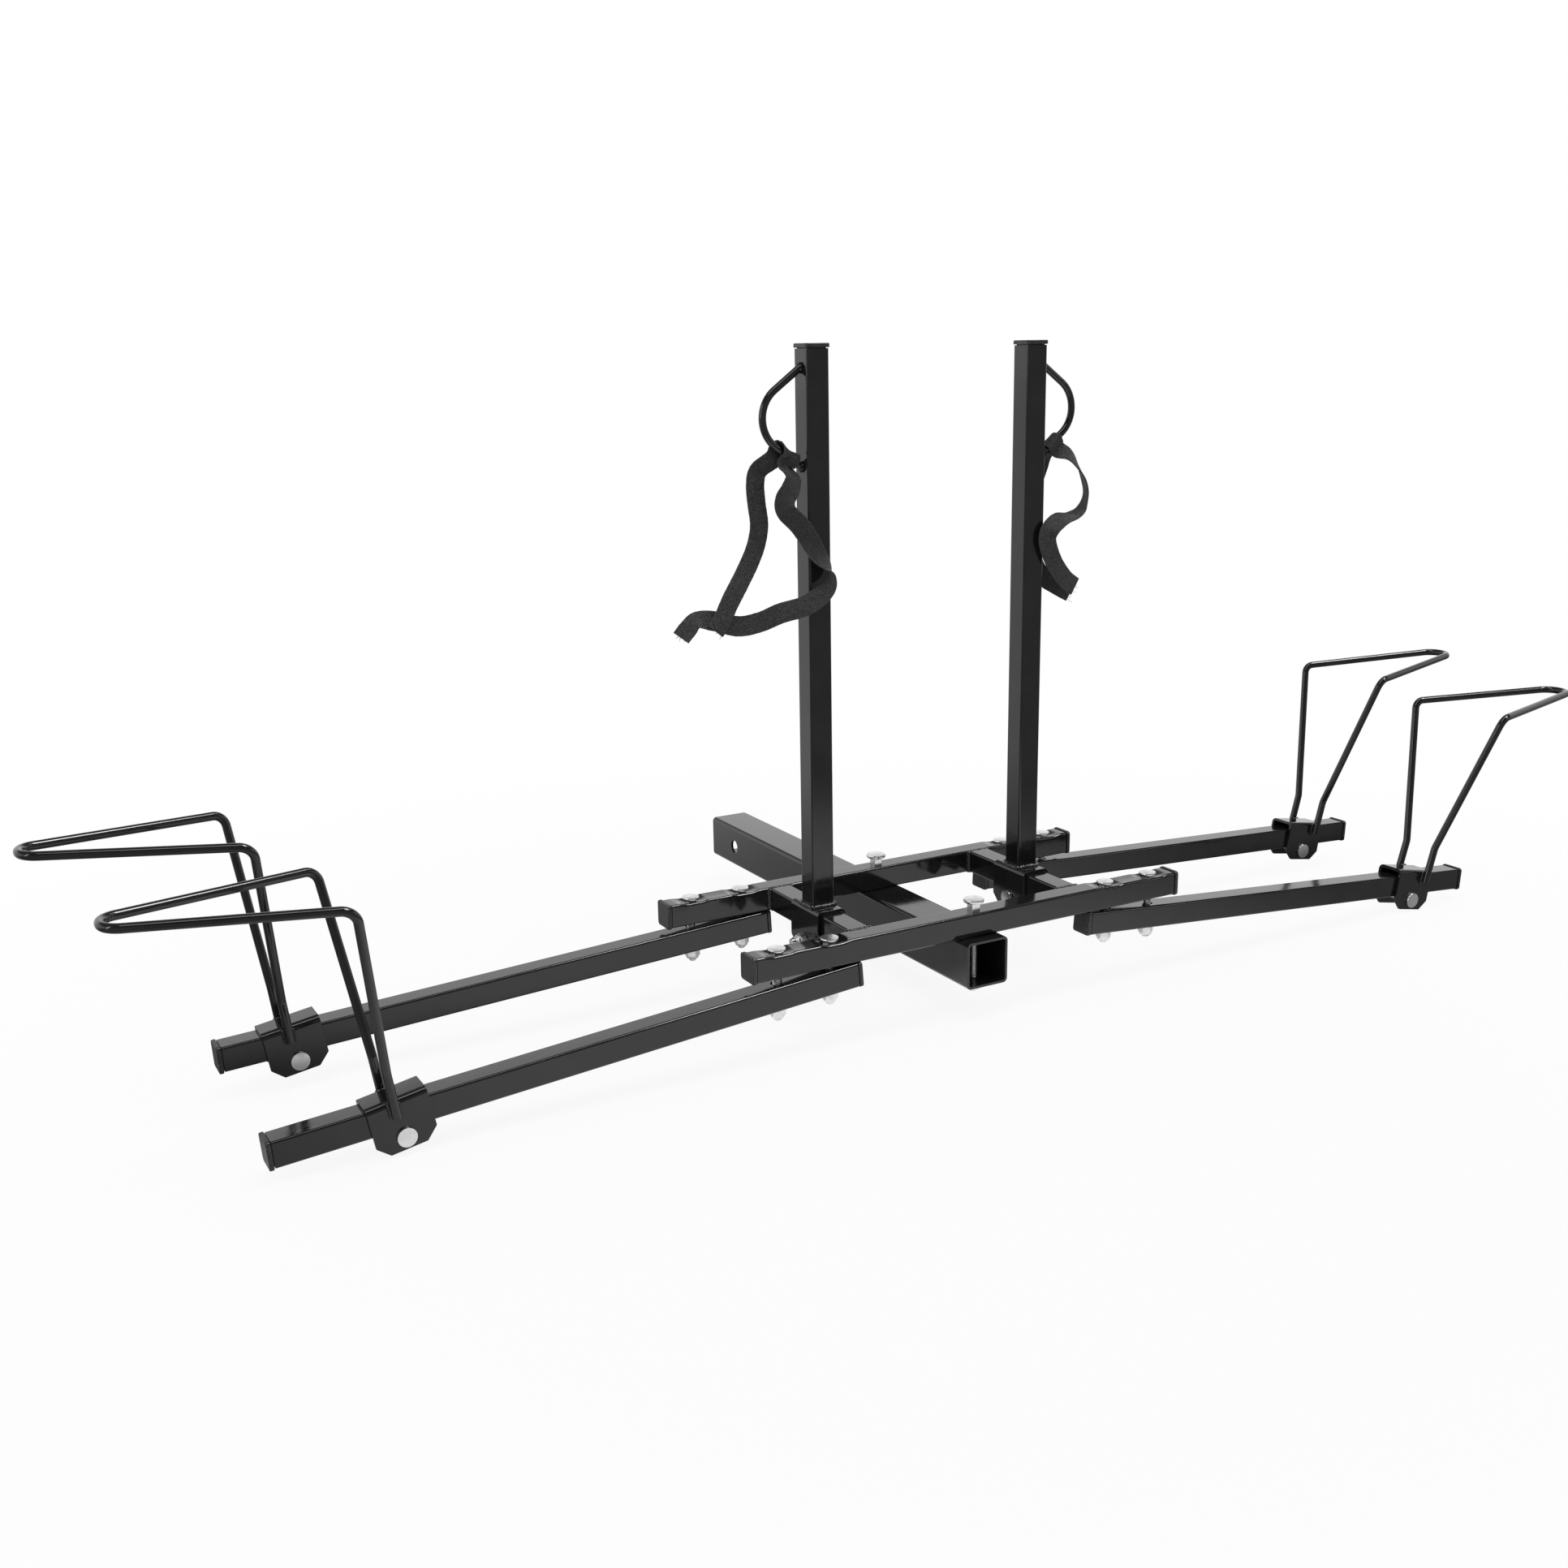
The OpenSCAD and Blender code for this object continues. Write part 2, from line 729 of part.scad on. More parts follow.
// Rows of [x, y, z, width x, width y, width z] with more rows put in between
function smooth_rows(rows, steps) = [
    for (i = [0:len(rows) - 2], k = [0:steps - 1])
        between_rows(rows[max(i - 1, 0)], rows[i], rows[i + 1],
            rows[min(i + 2, len(rows) - 1)], k / steps),
    rows[len(rows) - 1]
];

function place(row) = [row[0], row[1], row[2]];
function width_way(row) = [row[3], row[4], row[5]];

// A flat ribbon along rows of points and width directions
module ribbon(rows, w, t) {
    last = len(rows) - 1;
    corners = [for (i = [0:last])
        let (
            along = unit(place(rows[min(i + 1, last)]) - place(rows[max(i - 1, 0)])),
            face = unit(cross(along, width_way(rows[i]))),
            across = cross(face, along)
        )
        for (c = [[-1, -1], [1, -1], [1, 1], [-1, 1]])
            place(rows[i]) + across * c.x * w / 2 + face * c.y * t / 2];
    walls = [for (i = [0:last - 1], k = [0:3])
        let (a = 4 * i + k, b = 4 * i + (k + 1) % 4)
        each [[a, b + 4, b], [a, a + 4, b + 4]]];
    ends = [[0, 2, 3], [0, 1, 2], [4 * last, 4 * last + 2, 4 * last + 1],
        [4 * last, 4 * last + 3, 4 * last + 2]];
    polyhedron(corners, concat(walls, ends));
}

// The fold of a strap over the lower leg of its ring, from behind to the front.
// The strap lies at one distance from the mast behind the rod and at another in front,
// and at each end it runs on straight for a short way.
fold_turns = [-100, -65, -30, 0, 30, 65, 100];
function fold_row(out, turned, straight) =
    let (
        seat = ring_point(out, -1) - [mast_x, middle_y, ring_z],
        inward = [-sin(ring_slope), 0, cos(ring_slope)],
        off_rod = inward * cos(turned) - [0, sin(turned), 0],
        onward = -inward * sin(turned) - [0, cos(turned), 0]
    )
    concat(seat + strap_lift * off_rod + straight * onward, -ring_leg(-1));
function strap_fold(back_out, front_out) = concat(
    [fold_row(back_out, fold_turns[0], -strap_straight)],
    [for (turned = fold_turns)
        let (share = (turned - fold_turns[0]) / (fold_turns[6] - fold_turns[0]))
        fold_row(back_out + (front_out - back_out) * share, turned, 0)],
    [fold_row(front_out, fold_turns[6], strap_straight)]
);

// Distances from the mast at which each strap leaves its ring behind and in front
left_fold = [24, 14];
right_fold = [14, 18];

// Free runs of the left strap: x outward and y from the mast's axis, z from the ring's middle
left_back_run = [
    [118, -12, -199, -0.82, 0, -0.57],
    [110, -11, -189, -0.84, 0, -0.54],
    [99, -8, -172, -0.88, 0, -0.47],
    [84, -3, -153, -0.9, 0, -0.42],
    [70, 2, -134, -0.93, 0, -0.35],
    [61, 6, -118, -0.98, 0, -0.2],
    [57, 8, -101, -1, 0, 0],
    [59, 9, -80, -1, 0, 0.05],
    [60, 9, -62, -1, 0, 0],
    [56, 9, -49, -0.93, 0, -0.3]
];
left_front_run = [
    [28, -10, -57, -0.95, 0.2, -0.25],
    [33, -14, -67, -0.88, 0.3, -0.38],
    [40, -15, -77, -0.8, 0.6, 0],
    [40, -17, -88, -0.7, 0.5, 0.4],
    [28, -20, -101, -0.6, 0.5, 0.6],
    [19, -22, -114, -0.7, 0.45, 0.5],
    [10, -24, -129, -0.65, 0.5, 0.5],
    [1, -26, -141, -0.5, 0.7, 0.5],
    [-3, -29, -151, -0.3, 0.9, 0.2],
    [3, -32, -164, 0, 0.8, 0.5],
    [15, -30, -174, 0.2, 0.5, 0.8],
    [29, -27, -181, 0.2, 0.3, 0.93],
    [51, -22, -186, 0.2, 0.2, 0.95],
    [70, -14, -194, 0.25, 0.15, 0.95],
    [91, -8, -197, 0, 0.1, 1],
    [116, -5, -190, -0.1, 0.3, 0.95],
    [134, -3, -188, -0.1, 0.75, 0.65],
    [143, -2, -196, 0.4, 0.75, 0.45],
    [150, -1, -204, 0.4, 0.75, 0.4]
];
// Free runs of the right strap
right_back_run = [
    [57, -4, -198, -0.3, 0, -0.95],
    [44, 2, -190, -0.5, 0.2, -0.85],
    [31, 10, -180, -0.7, 0.3, -0.6],
    [23, 16, -166, -0.8, 0.5, -0.4],
    [19, 20, -140, -0.5, 0.85, 0],
    [19, 20, -110, -0.5, 0.85, 0],
    [21, 18, -80, -0.6, 0.8, 0],
    [25, 13, -60, -0.8, 0.4, -0.2]
];
right_front_run = [
    [47, -9, -48, -0.65, -0.55, -0.45],
    [58, -8, -58, -0.55, -0.75, -0.3],
    [70, -5, -74, -0.4, -0.9, -0.1],
    [76, -3, -92, -0.4, -0.9, 0],
    [69, -4, -106, -0.3, -0.95, -0.1],
    [54, -9, -113, 0.1, -0.95, -0.2],
    [34, -15.5, -115, 0.35, -0.8, -0.5],
    [17, -20.5, -123, 0.7, -0.45, -0.5],
    [12, -20, -134, 0.95, -0.25, 0],
    [16, -19, -148, 0.92, -0.2, 0.3],
    [26, -17, -164, 0.85, -0.1, 0.5],
    [41, -15, -180, 0.65, 0, 0.75],
    [56, -13, -190, 0.3, 0, 0.95]
];

module strap(side, rows) {
    color(webbing)
        on_side(side)
            translate([mast_x, middle_y, ring_z])
                ribbon(smooth_rows(rows, strap_steps), strap_w, strap_t);
}

module mast_left() {
    mast(left);
}

module mast_cap_left() {
    mast_cap(left);
}

module mast_saddle_left() {
    mast_saddle(left);
}

module mast_weld_left() {
    mast_weld(left);
}

module mast_bolt_left() {
    mast_bolt(left);
}

module mast_nut_left() {
    mast_nut(left);
}

module strap_ring_left() {
    strap_ring(left);
}

module strap_left() {
    strap(left, concat(left_back_run, strap_fold(left_fold[0], left_fold[1]), left_front_run));
}

module mast_right() {
    mast(right);
}

module mast_cap_right() {
    mast_cap(right);
}

module mast_saddle_right() {
    mast_saddle(right);
}

module mast_weld_right() {
    mast_weld(right);
}

module mast_bolt_right() {
    mast_bolt(right);
}

module mast_nut_right() {
    mast_nut(right);
}

module strap_ring_right() {
    strap_ring(right);
}

module strap_right() {
    strap(right, concat(right_back_run, strap_fold(right_fold[0], right_fold[1]), right_front_run));
}

// Every wheel loop as side, place, droop, distance from the arm's outer end, lean and foot shift
front_left = [left, front_y, front_droop_angle, front_left_inset, left_lean, left_shift];
front_right = [right, front_y, front_droop_angle, front_right_inset, right_lean, right_shift];
rear_left = [left, rear_y, rear_droop_angle, rear_left_inset, left_lean, left_shift];
rear_right = [right, rear_y, rear_droop_angle, rear_right_inset, right_lean, right_shift];

// The frame of a loop: X outward along the arm, origin on the arm's centreline at the saddle
module in_loop(loop) {
    in_arm(loop[0], loop[1], loop[2])
        translate([arm_length - loop[3], 0, -tube_w / 2]) children();
}

// The frame of a loop's saddle, whose outer edge rests on the arm
module in_loop_saddle() {
    translate([0, 0, tube_w / 2 + saddle_lift]) rotate([0, saddle_tilt, 0]) children();
}

// A point of a loop's leg at a height, with the leg leaning outward from its foot
function leg_point(loop, y, z) = [loop[5] + (z - loop_foot) * tan(loop[4]), y, z];

// One half of a loop's route on the side with the given sign, from foot to tip
function half_route(loop, side) = [
    leg_point(loop, side * leg_y, loop_foot),
    leg_point(loop, side * leg_y, loop_kink),
    leg_point(loop, side * loop_width / 2, loop_height),
    [leg_point(loop, 0, loop_height).x + loop_reach, side * tip_half,
        loop_height + loop_reach * tan(loop_rise)]
];

module loop_rod(loop) {
    near = half_route(loop, -1);
    far = half_route(loop, 1);
    bends = [kink_bend, loop_bend, tip_bend, tip_bend, loop_bend, kink_bend];
    color(black_paint)
        in_loop(loop)
            swept_rod(concat(near, [far[3], far[2], far[1], far[0]]), bends, loop_rod_d);
}

module loop_saddle(loop) {
    color(black_paint) in_loop(loop) in_loop_saddle() saddle();
}

module loop_bolt(loop) {
    color(zinc) in_loop(loop) in_loop_saddle() saddle_bolt();
}

module loop_nut(loop) {
    color(steel) in_loop(loop) in_loop_saddle() saddle_nut();
}

// Fillets between the legs and the cheeks, closed by a bead over the saddle's bends
module loop_weld(loop) {
    crown = tube_w / 2 + saddle_lift + saddle_t;
    color(black_paint)
        in_loop(loop)
            for (side = sides)
                difference() {
                    rod_between(leg_point(loop, side * (leg_y - loop_bead_in), loop_foot + 1),
                        leg_point(loop, side * (leg_y - loop_bead_in), crown + loop_bead),
                        loop_rod_d + loop_bead);
                    rod_between(leg_point(loop, side * leg_y, loop_foot - loop_rod_d),
                        leg_point(loop, side * leg_y, loop_kink), loop_rod_d);
                    in_loop_saddle() saddle_blank();
                    translate(leg_point(loop, side * leg_y, loop_foot))
                        rotate([0, loop[4], 0])
                            cube([loop_bead_gap, 2 * loop_rod_d, 2 * (crown - saddle_t - loop_foot)],
                                center = true);
                }
}

module loop_front_left() {
    loop_rod(front_left);
}

module loop_saddle_front_left() {
    loop_saddle(front_left);
}

module loop_weld_front_left() {
    loop_weld(front_left);
}

module loop_bolt_front_left() {
    loop_bolt(front_left);
}

module loop_nut_front_left() {
    loop_nut(front_left);
}

module loop_front_right() {
    loop_rod(front_right);
}

module loop_saddle_front_right() {
    loop_saddle(front_right);
}

module loop_weld_front_right() {
    loop_weld(front_right);
}

module loop_bolt_front_right() {
    loop_bolt(front_right);
}

module loop_nut_front_right() {
    loop_nut(front_right);
}

module loop_rear_left() {
    loop_rod(rear_left);
}

module loop_saddle_rear_left() {
    loop_saddle(rear_left);
}

module loop_weld_rear_left() {
    loop_weld(rear_left);
}

module loop_bolt_rear_left() {
    loop_bolt(rear_left);
}

module loop_nut_rear_left() {
    loop_nut(rear_left);
}

module loop_rear_right() {
    loop_rod(rear_right);
}

module loop_saddle_rear_right() {
    loop_saddle(rear_right);
}

module loop_weld_rear_right() {
    loop_weld(rear_right);
}

module loop_bolt_rear_right() {
    loop_bolt(rear_right);
}

module loop_nut_rear_right() {
    loop_nut(rear_right);
}

hitch_bar();
crossbar_front();
crossbar_rear();
cross_tube_left();
cross_tube_right();
frame_welds();
crossbar_caps();
arm_front_left();
arm_front_right();
arm_rear_left();
arm_rear_right();
arm_outer_caps();
arm_inner_caps();
arm_bolts();
arm_nuts();
hitch_bolts();
hitch_nuts();
mast_left();
mast_cap_left();
mast_saddle_left();
mast_weld_left();
mast_bolt_left();
mast_nut_left();
strap_ring_left();
strap_left();
mast_right();
mast_cap_right();
mast_saddle_right();
mast_weld_right();
mast_bolt_right();
mast_nut_right();
strap_ring_right();
strap_right();
loop_front_left();
loop_saddle_front_left();
loop_weld_front_left();
loop_bolt_front_left();
loop_nut_front_left();
loop_front_right();
loop_saddle_front_right();
loop_weld_front_right();
loop_bolt_front_right();
loop_nut_front_right();
loop_rear_left();
loop_saddle_rear_left();
loop_weld_rear_left();
loop_bolt_rear_left();
loop_nut_rear_left();
loop_rear_right();
loop_saddle_rear_right();
loop_weld_rear_right();
loop_bolt_rear_right();
loop_nut_rear_right();
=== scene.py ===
import math
import random
from functools import partial

import bmesh
import bpy
from mathutils import Matrix, Vector


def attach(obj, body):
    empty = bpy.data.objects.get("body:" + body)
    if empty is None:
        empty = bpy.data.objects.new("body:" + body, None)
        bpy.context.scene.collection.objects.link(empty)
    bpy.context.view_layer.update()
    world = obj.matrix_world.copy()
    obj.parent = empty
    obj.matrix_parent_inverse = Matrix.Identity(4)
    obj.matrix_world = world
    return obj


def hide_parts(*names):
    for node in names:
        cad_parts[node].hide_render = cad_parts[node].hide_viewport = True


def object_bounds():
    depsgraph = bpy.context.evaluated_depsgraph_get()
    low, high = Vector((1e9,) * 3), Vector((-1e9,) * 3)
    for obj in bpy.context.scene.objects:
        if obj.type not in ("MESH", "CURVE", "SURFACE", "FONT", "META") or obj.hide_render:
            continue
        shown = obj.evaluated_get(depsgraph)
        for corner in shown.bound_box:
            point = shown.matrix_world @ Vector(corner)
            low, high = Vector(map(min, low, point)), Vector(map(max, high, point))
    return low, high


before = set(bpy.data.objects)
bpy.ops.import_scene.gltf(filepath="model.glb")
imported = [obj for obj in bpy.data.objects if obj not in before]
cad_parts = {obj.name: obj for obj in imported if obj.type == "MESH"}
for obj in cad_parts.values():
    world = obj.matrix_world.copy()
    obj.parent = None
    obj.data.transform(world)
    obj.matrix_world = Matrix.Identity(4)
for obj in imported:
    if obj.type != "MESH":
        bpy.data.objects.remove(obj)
cad_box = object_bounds()
scene = bpy.context.scene


# Camera
# It stands to the left of the rack and a little above it, on the rider's side,
# where the two wheel loops of each side line up in depth.
camera_place = (-0.9796, -1.8623, 0.6160)
camera_right = Vector((0.8732, -0.4871, -0.0162))
camera_ahead = Vector((0.4686, 0.8481, -0.2472))
frame_pixels = 1932
focal_pixels = 2082.0

camera_data = bpy.data.cameras.new("camera")
camera_data.sensor_width = 36
camera_data.lens = focal_pixels / frame_pixels * camera_data.sensor_width
camera_data.clip_start = 0.05
camera_data.clip_end = 60
camera = bpy.data.objects.new("camera", camera_data)
camera_ahead.normalize()
camera_up = camera_right.cross(camera_ahead).normalized()
camera_side = camera_ahead.cross(camera_up)
camera.matrix_world = Matrix.Translation(camera_place) @ Matrix(
    (camera_side, camera_up, -camera_ahead)).transposed().to_4x4()
scene.collection.objects.link(camera)
scene.camera = camera


# Hitch bar
# The 2 inch square steel tube that goes into the vehicle's receiver. It is sawn from
# welded tube, drilled for the hitch pin and two bolts, and powder coated gloss black.
# Sizes are in millimetres, and each finished piece is brought to metres.
hitch_width = 50.8
hitch_wall = 3
hitch_corner = 5
hitch_length = 579.1
pin_inset = 60
pin_hole = 17
hitch_bolt = 10
hitch_bolt_hole = 11
hitch_bolt_inset = 26
bar_pitch = 190.5
hitch_near_end = pin_inset - hitch_length
front_y = hitch_near_end + hitch_bolt_inset
rear_y = front_y + bar_pitch
middle_y = (front_y + rear_y) / 2
row_y = {"front": front_y, "rear": rear_y}
bar_bottom = hitch_width / 2


def moved(x, y, z):
    """A shift in millimetres."""
    return Matrix.Translation((x, y, z))


def turned(degrees, axis):
    """A turn round one of the axes through the origin."""
    return Matrix.Rotation(math.radians(degrees), 4, axis)


def on_side(side):
    """A right hand place for 1, its mirror image on the left for -1."""
    return Matrix.Diagonal((side, 1, 1, 1))


def linear(code):
    """An sRGB hex colour as linear red, green, blue and alpha."""
    parts = [int(code[i:i + 2], 16) / 255 for i in (1, 3, 5)]
    return tuple(c / 12.92 if c <= 0.04045 else ((c + 0.055) / 1.055) ** 2.4
                 for c in parts) + (1.0,)


def add_node(tree, kind, sockets=(), **settings):
    """Adds one shader node, with its settings, its values and its links. The sockets
    are given by name, or as a row in the order in which the node shows them. A hex
    code becomes its colour, and a node is linked by its first output."""
    made = tree.nodes.new("ShaderNode" + kind)
    for name, value in settings.items():
        setattr(made, name, value)
    if isinstance(sockets, dict):
        filled = [(made.inputs[name], value) for name, value in sockets.items()]
    else:
        filled = zip([socket for socket in made.inputs if socket.enabled], sockets)
    for socket, value in filled:
        if isinstance(value, str):
            value = linear(value)
        if isinstance(value, bpy.types.Node):
            value = next(output for output in value.outputs if output.enabled)
        if isinstance(value, bpy.types.NodeSocket):
            tree.links.new(value, socket)
        else:
            socket.default_value = value
    return made


def new_finish(name):
    """An empty material, what adds nodes to it, and the place of each point on the
    piece."""
    finish = bpy.data.materials.new(name)
    finish.use_nodes = True
    finish.node_tree.nodes.clear()
    add = partial(add_node, finish.node_tree)
    return finish, add, add("TexCoord").outputs["Object"]


def powder_coat(name, stretch):
    """Gloss black polyester powder coat on drawn steel tube: a deep mirror like black
    with the faint orange peel of baked powder, faint lines along the tube from its
    drawing, a few dust nibs, and edges that handling has dulled a little."""
    # The peel and the lines are drawn two to three times coarser than real ones.
    peel_size = 0.004
    line_size = 0.0025
    nib_size = 0.006
    dull_patch = 1 / 28
    finish, add, place = new_finish(name)
    peel = add("TexNoise", (place, 1 / peel_size, 2, 0.45))
    along = add("Mapping", {"Vector": place, "Scale": stretch})
    lines = add("TexNoise", (along, 1 / line_size, 3))
    cloud = add("TexNoise", (place, 1 / dull_patch, 3))
    nibs = add("TexVoronoi", {"Vector": place, "Scale": 1 / nib_size, "Randomness": 1})
    nib = add("MapRange", (nibs, 0.055, 0.02, 0, 1))
    edge = add("Attribute", attribute_name="edge").outputs["Fac"]
    worn = add("MapRange", (cloud, 0.42, 0.7, 0, 1))
    worn_edge = add("Math", (worn, edge), operation="MULTIPLY")
    base = add("Mix", (worn_edge, "#161617", "#1d1d1e"), data_type="RGBA")
    colour = add("Mix", (nib, base, "#3c3c3c"), data_type="RGBA")
    gloss = add("MapRange", (lines, 0.3, 0.7, 0.06, 0.13))
    dulled = add("Math", (worn_edge, 0.03, gloss), operation="MULTIPLY_ADD")
    peel_bump = add("Bump", {"Height": peel, "Strength": 0.025, "Distance": 0.001})
    line_bump = add("Bump", {"Height": lines, "Strength": 0.012,
                             "Distance": 0.0006, "Normal": peel_bump})
    shader = add("BsdfPrincipled", {
        "Base Color": colour, "Roughness": dulled, "Normal": line_bump, "IOR": 1.5})
    add("OutputMaterial", {"Surface": shader})
    return finish


def rounded(shape, edges, width, segments):
    """Rounds edges over a width."""
    bmesh.ops.bevel(shape, geom=edges, offset=width, offset_type="OFFSET",
                    segments=segments, profile=0.5, affect="EDGES", material=-1)


def sharp_edges(shape, degrees):
    """The edges at which the surface bends by more than an angle."""
    return [e for e in shape.edges if len(e.link_faces) == 2
            and e.calc_face_angle() > math.radians(degrees)]


def face_outward(shape):
    """Turns the faces of a shape outward. The folds of a thread can mislead the first
    step, and then a volume below zero shows that they all point inward."""
    bmesh.ops.recalc_face_normals(shape, faces=shape.faces)
    if shape.calc_volume(signed=True) < 0:
        bmesh.ops.reverse_faces(shape, faces=shape.faces)


def square_bar(shape, width, corner, length, start=0):
    """Draws a square bar with round corners along Z."""
    bar = bmesh.ops.create_cube(shape, size=1, matrix=moved(0, 0, start + length / 2)
                                @ Matrix.Diagonal((width, width, length, 1)))["verts"]
    long_edges = [e for e in shape.edges if e.verts[0] in bar
                  and abs(e.verts[0].co.z - e.verts[1].co.z) > length / 2]
    rounded(shape, long_edges, corner, segments=6)


def square_tube(width, corner, wall, length):
    """A square tube along Z whose sawn ends have a slightly broken edge."""
    broken_edge = 0.4
    shape = bmesh.new()
    square_bar(shape, width, corner, length)
    ends = [f for f in shape.faces if abs(f.normal.z) > 0.9]
    bmesh.ops.inset_region(shape, faces=ends, thickness=wall, use_even_offset=True)
    ends = [f for f in shape.faces if abs(f.normal.z) > 0.9 and len(f.verts) > 4]
    loops = [e for f in ends for e in f.edges]
    bmesh.ops.delete(shape, geom=ends, context="FACES_ONLY")
    bmesh.ops.bridge_loops(shape, edges=loops)
    face_outward(shape)
    rounded(shape, sharp_edges(shape, 80), broken_edge, segments=2)
    return shape


def into_mesh(name, shape):
    """Makes a drawn shape into a mesh and lets the drawing go."""
    mesh = bpy.data.meshes.new(name)
    shape.to_mesh(mesh)
    shape.free()
    return mesh


def add_object(name, shape):
    """Makes a drawn shape into an object of the scene."""
    made = bpy.data.objects.new(name, into_mesh(name, shape))
    scene.collection.objects.link(made)
    return made


def cut(shape, tool, operation="DIFFERENCE"):
    """Cuts one shape with another and gives what is left."""
    block, cutter = [add_object("cut", part) for part in (shape, tool)]
    modifier = block.modifiers.new("cut", "BOOLEAN")
    modifier.object = cutter
    modifier.operation = operation
    modifier.solver = "EXACT"
    left = bmesh.new()
    left.from_object(block, bpy.context.evaluated_depsgraph_get())
    for used in (block, cutter):
        mesh = used.data
        bpy.data.objects.remove(used)
        bpy.data.meshes.remove(mesh)
    return left


def drills(holes):
    """Long drills along Z, each given as a place and a diameter."""
    shape = bmesh.new()
    for place, diameter in holes:
        bmesh.ops.create_cone(shape, cap_ends=True, segments=48, radius1=diameter / 2,
                              radius2=diameter / 2, depth=4 * hitch_width, matrix=place)
    return shape


def set_at(shape, place):
    """Moves a drawn shape to its place. In a mirror image its faces stay outward."""
    bmesh.ops.transform(shape, matrix=place, verts=shape.verts)
    if place.determinant() < 0:
        bmesh.ops.reverse_faces(shape, faces=shape.faces)
    return shape


def rack_piece(name, shape, place, finishes, body, slot, *nodes):
    """Makes a drawn shape into a finished piece that rides on a body of the rack. How
    sharply the surface bends at each point is kept as edge, where finishes wear."""
    millimetre = 0.001
    full_edge = math.radians(15)
    crease = math.radians(38)
    set_at(shape, place)
    edge = shape.verts.layers.float.new("edge")
    for vert in shape.verts:
        bends = [e.calc_face_angle() for e in vert.link_edges if len(e.link_faces) == 2]
        vert[edge] = min(1, max(bends, default=0) / full_edge)
    bmesh.ops.scale(shape, vec=[millimetre] * 3, verts=shape.verts)
    for face in shape.faces:
        face.smooth = True
    piece = add_object(name, shape)
    piece.data.set_sharp_from_angle(angle=crease)
    for finish in finishes:
        piece.data.materials.append(finish)
    piece.modifiers.new("flat_faces", "WEIGHTED_NORMAL").keep_sharp = True
    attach(piece, body)
    if nodes:
        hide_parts(*nodes)
    return piece


drawn_out = 0.02
coat_across = powder_coat("gloss_powder_coat_across", (drawn_out, 1, 1))
coat_lengthwise = powder_coat("gloss_powder_coat_lengthwise", (1, drawn_out, 1))
coat_upright = powder_coat("gloss_powder_coat_upright", (1, 1, drawn_out))
coat_plain = powder_coat("gloss_powder_coat_bent", (1, 1, 1))

hitch_holes = [(moved(0, 0, -hitch_near_end) @ turned(90, "Y"), pin_hole)]
hitch_holes += [(moved(0, 0, y - hitch_near_end) @ turned(90, "X"), hitch_bolt_hole)
                for y in row_y.values()]
rack_piece("hitch_tube",
           cut(square_tube(hitch_width, hitch_corner, hitch_wall, hitch_length),
               drills(hitch_holes)),
           moved(0, hitch_near_end, 0) @ turned(-90, "X"),
           [coat_lengthwise], "frame", "paint", "hitch_bar")


# Crossbars
# Two bars of 1 inch square steel tube lie across the hitch bar, one for each bike.
# Tightening the arm bolts has pressed dents into their tops, and each clamped end has
# sunk a little as a whole.
tube_width = 25.4
tube_half = tube_width / 2
tube_wall = 1.8
tube_corner = 2.5
bar_middle = bar_bottom + tube_half
bar_top = bar_bottom + tube_width
crossbar_length = 535
cap_flange = 5
arm_bolt_places = (174.5, 234.5)
arm_bolt = 9.5
dent_depth = 3
dent_flat = 6.25
dent_half = 22
dent_slices = 22
press_depth = 0.8
press_fade = 18
lane_width = 2.5
lanes = 3


def small_tube(length):
    return square_tube(tube_width, tube_corner, tube_wall, length)


def dent(distance):
    """Depth of a dent at a distance along the bar from its bolt."""
    if distance < dent_flat:
        return dent_depth
    if distance > dent_half:
        return 0
    share = (distance - dent_flat) / (dent_half - dent_flat)
    return dent_depth * (1 + math.cos(math.pi * share)) / 2


def press(distance):
    """How far the whole clamped end has sunk, at a distance from the bar's middle."""
    inner, outer = arm_bolt_places[0] - dent_half, arm_bolt_places[1] + dent_half
    share = min(1, max(0, min(distance - inner, outer - distance) / press_fade))
    return press_depth * (1 - math.cos(math.pi * share)) / 2


def sliced(shape, place, way):
    """Adds edges where a plane crosses the shape."""
    geometry = list(shape.verts) + list(shape.edges) + list(shape.faces)
    bmesh.ops.bisect_plane(shape, geom=geometry, dist=0.001, plane_co=place,
                           plane_no=way)


def crossbar_tube():
    """A crossbar along X whose top is pressed in, most along its middle line. The sides
    bulge by a little there, because the wall has to go somewhere."""
    middle_sink = 1.05
    edge_loss = 0.55
    side_bulge = 0.012
    length = crossbar_length - 2 * cap_flange
    shape = set_at(small_tube(length), turned(90, "Y") @ moved(0, 0, -length / 2))
    bolts = [side * x for side in (-1, 1) for x in arm_bolt_places]
    for bolt in bolts:
        for i in range(-dent_slices, dent_slices + 1):
            sliced(shape, (bolt + dent_half * i / dent_slices, 0, 0), (1, 0, 0))
    for i in range(-lanes, lanes + 1):
        sliced(shape, (0, lane_width * i, 0), (0, 1, 0))
    flat_half = tube_half - tube_corner
    for vert in shape.verts:
        x, y, z = vert.co
        depth = max(press(abs(x)), *[dent(abs(x - bolt)) for bolt in bolts])
        if z > flat_half - 0.5:
            across = min(1, abs(y) / flat_half)
            vert.co.z -= depth * (middle_sink - edge_loss * across * across)
        vert.co.y *= 1 + side_bulge * depth * (1 - abs(max(0, z) / tube_half - 0.5))
    return shape


for row, y in row_y.items():
    rack_piece(f"{row}_crossbar_tube", crossbar_tube(), moved(0, y, bar_middle),
               [coat_across], "frame", "paint", f"crossbar_{row}")


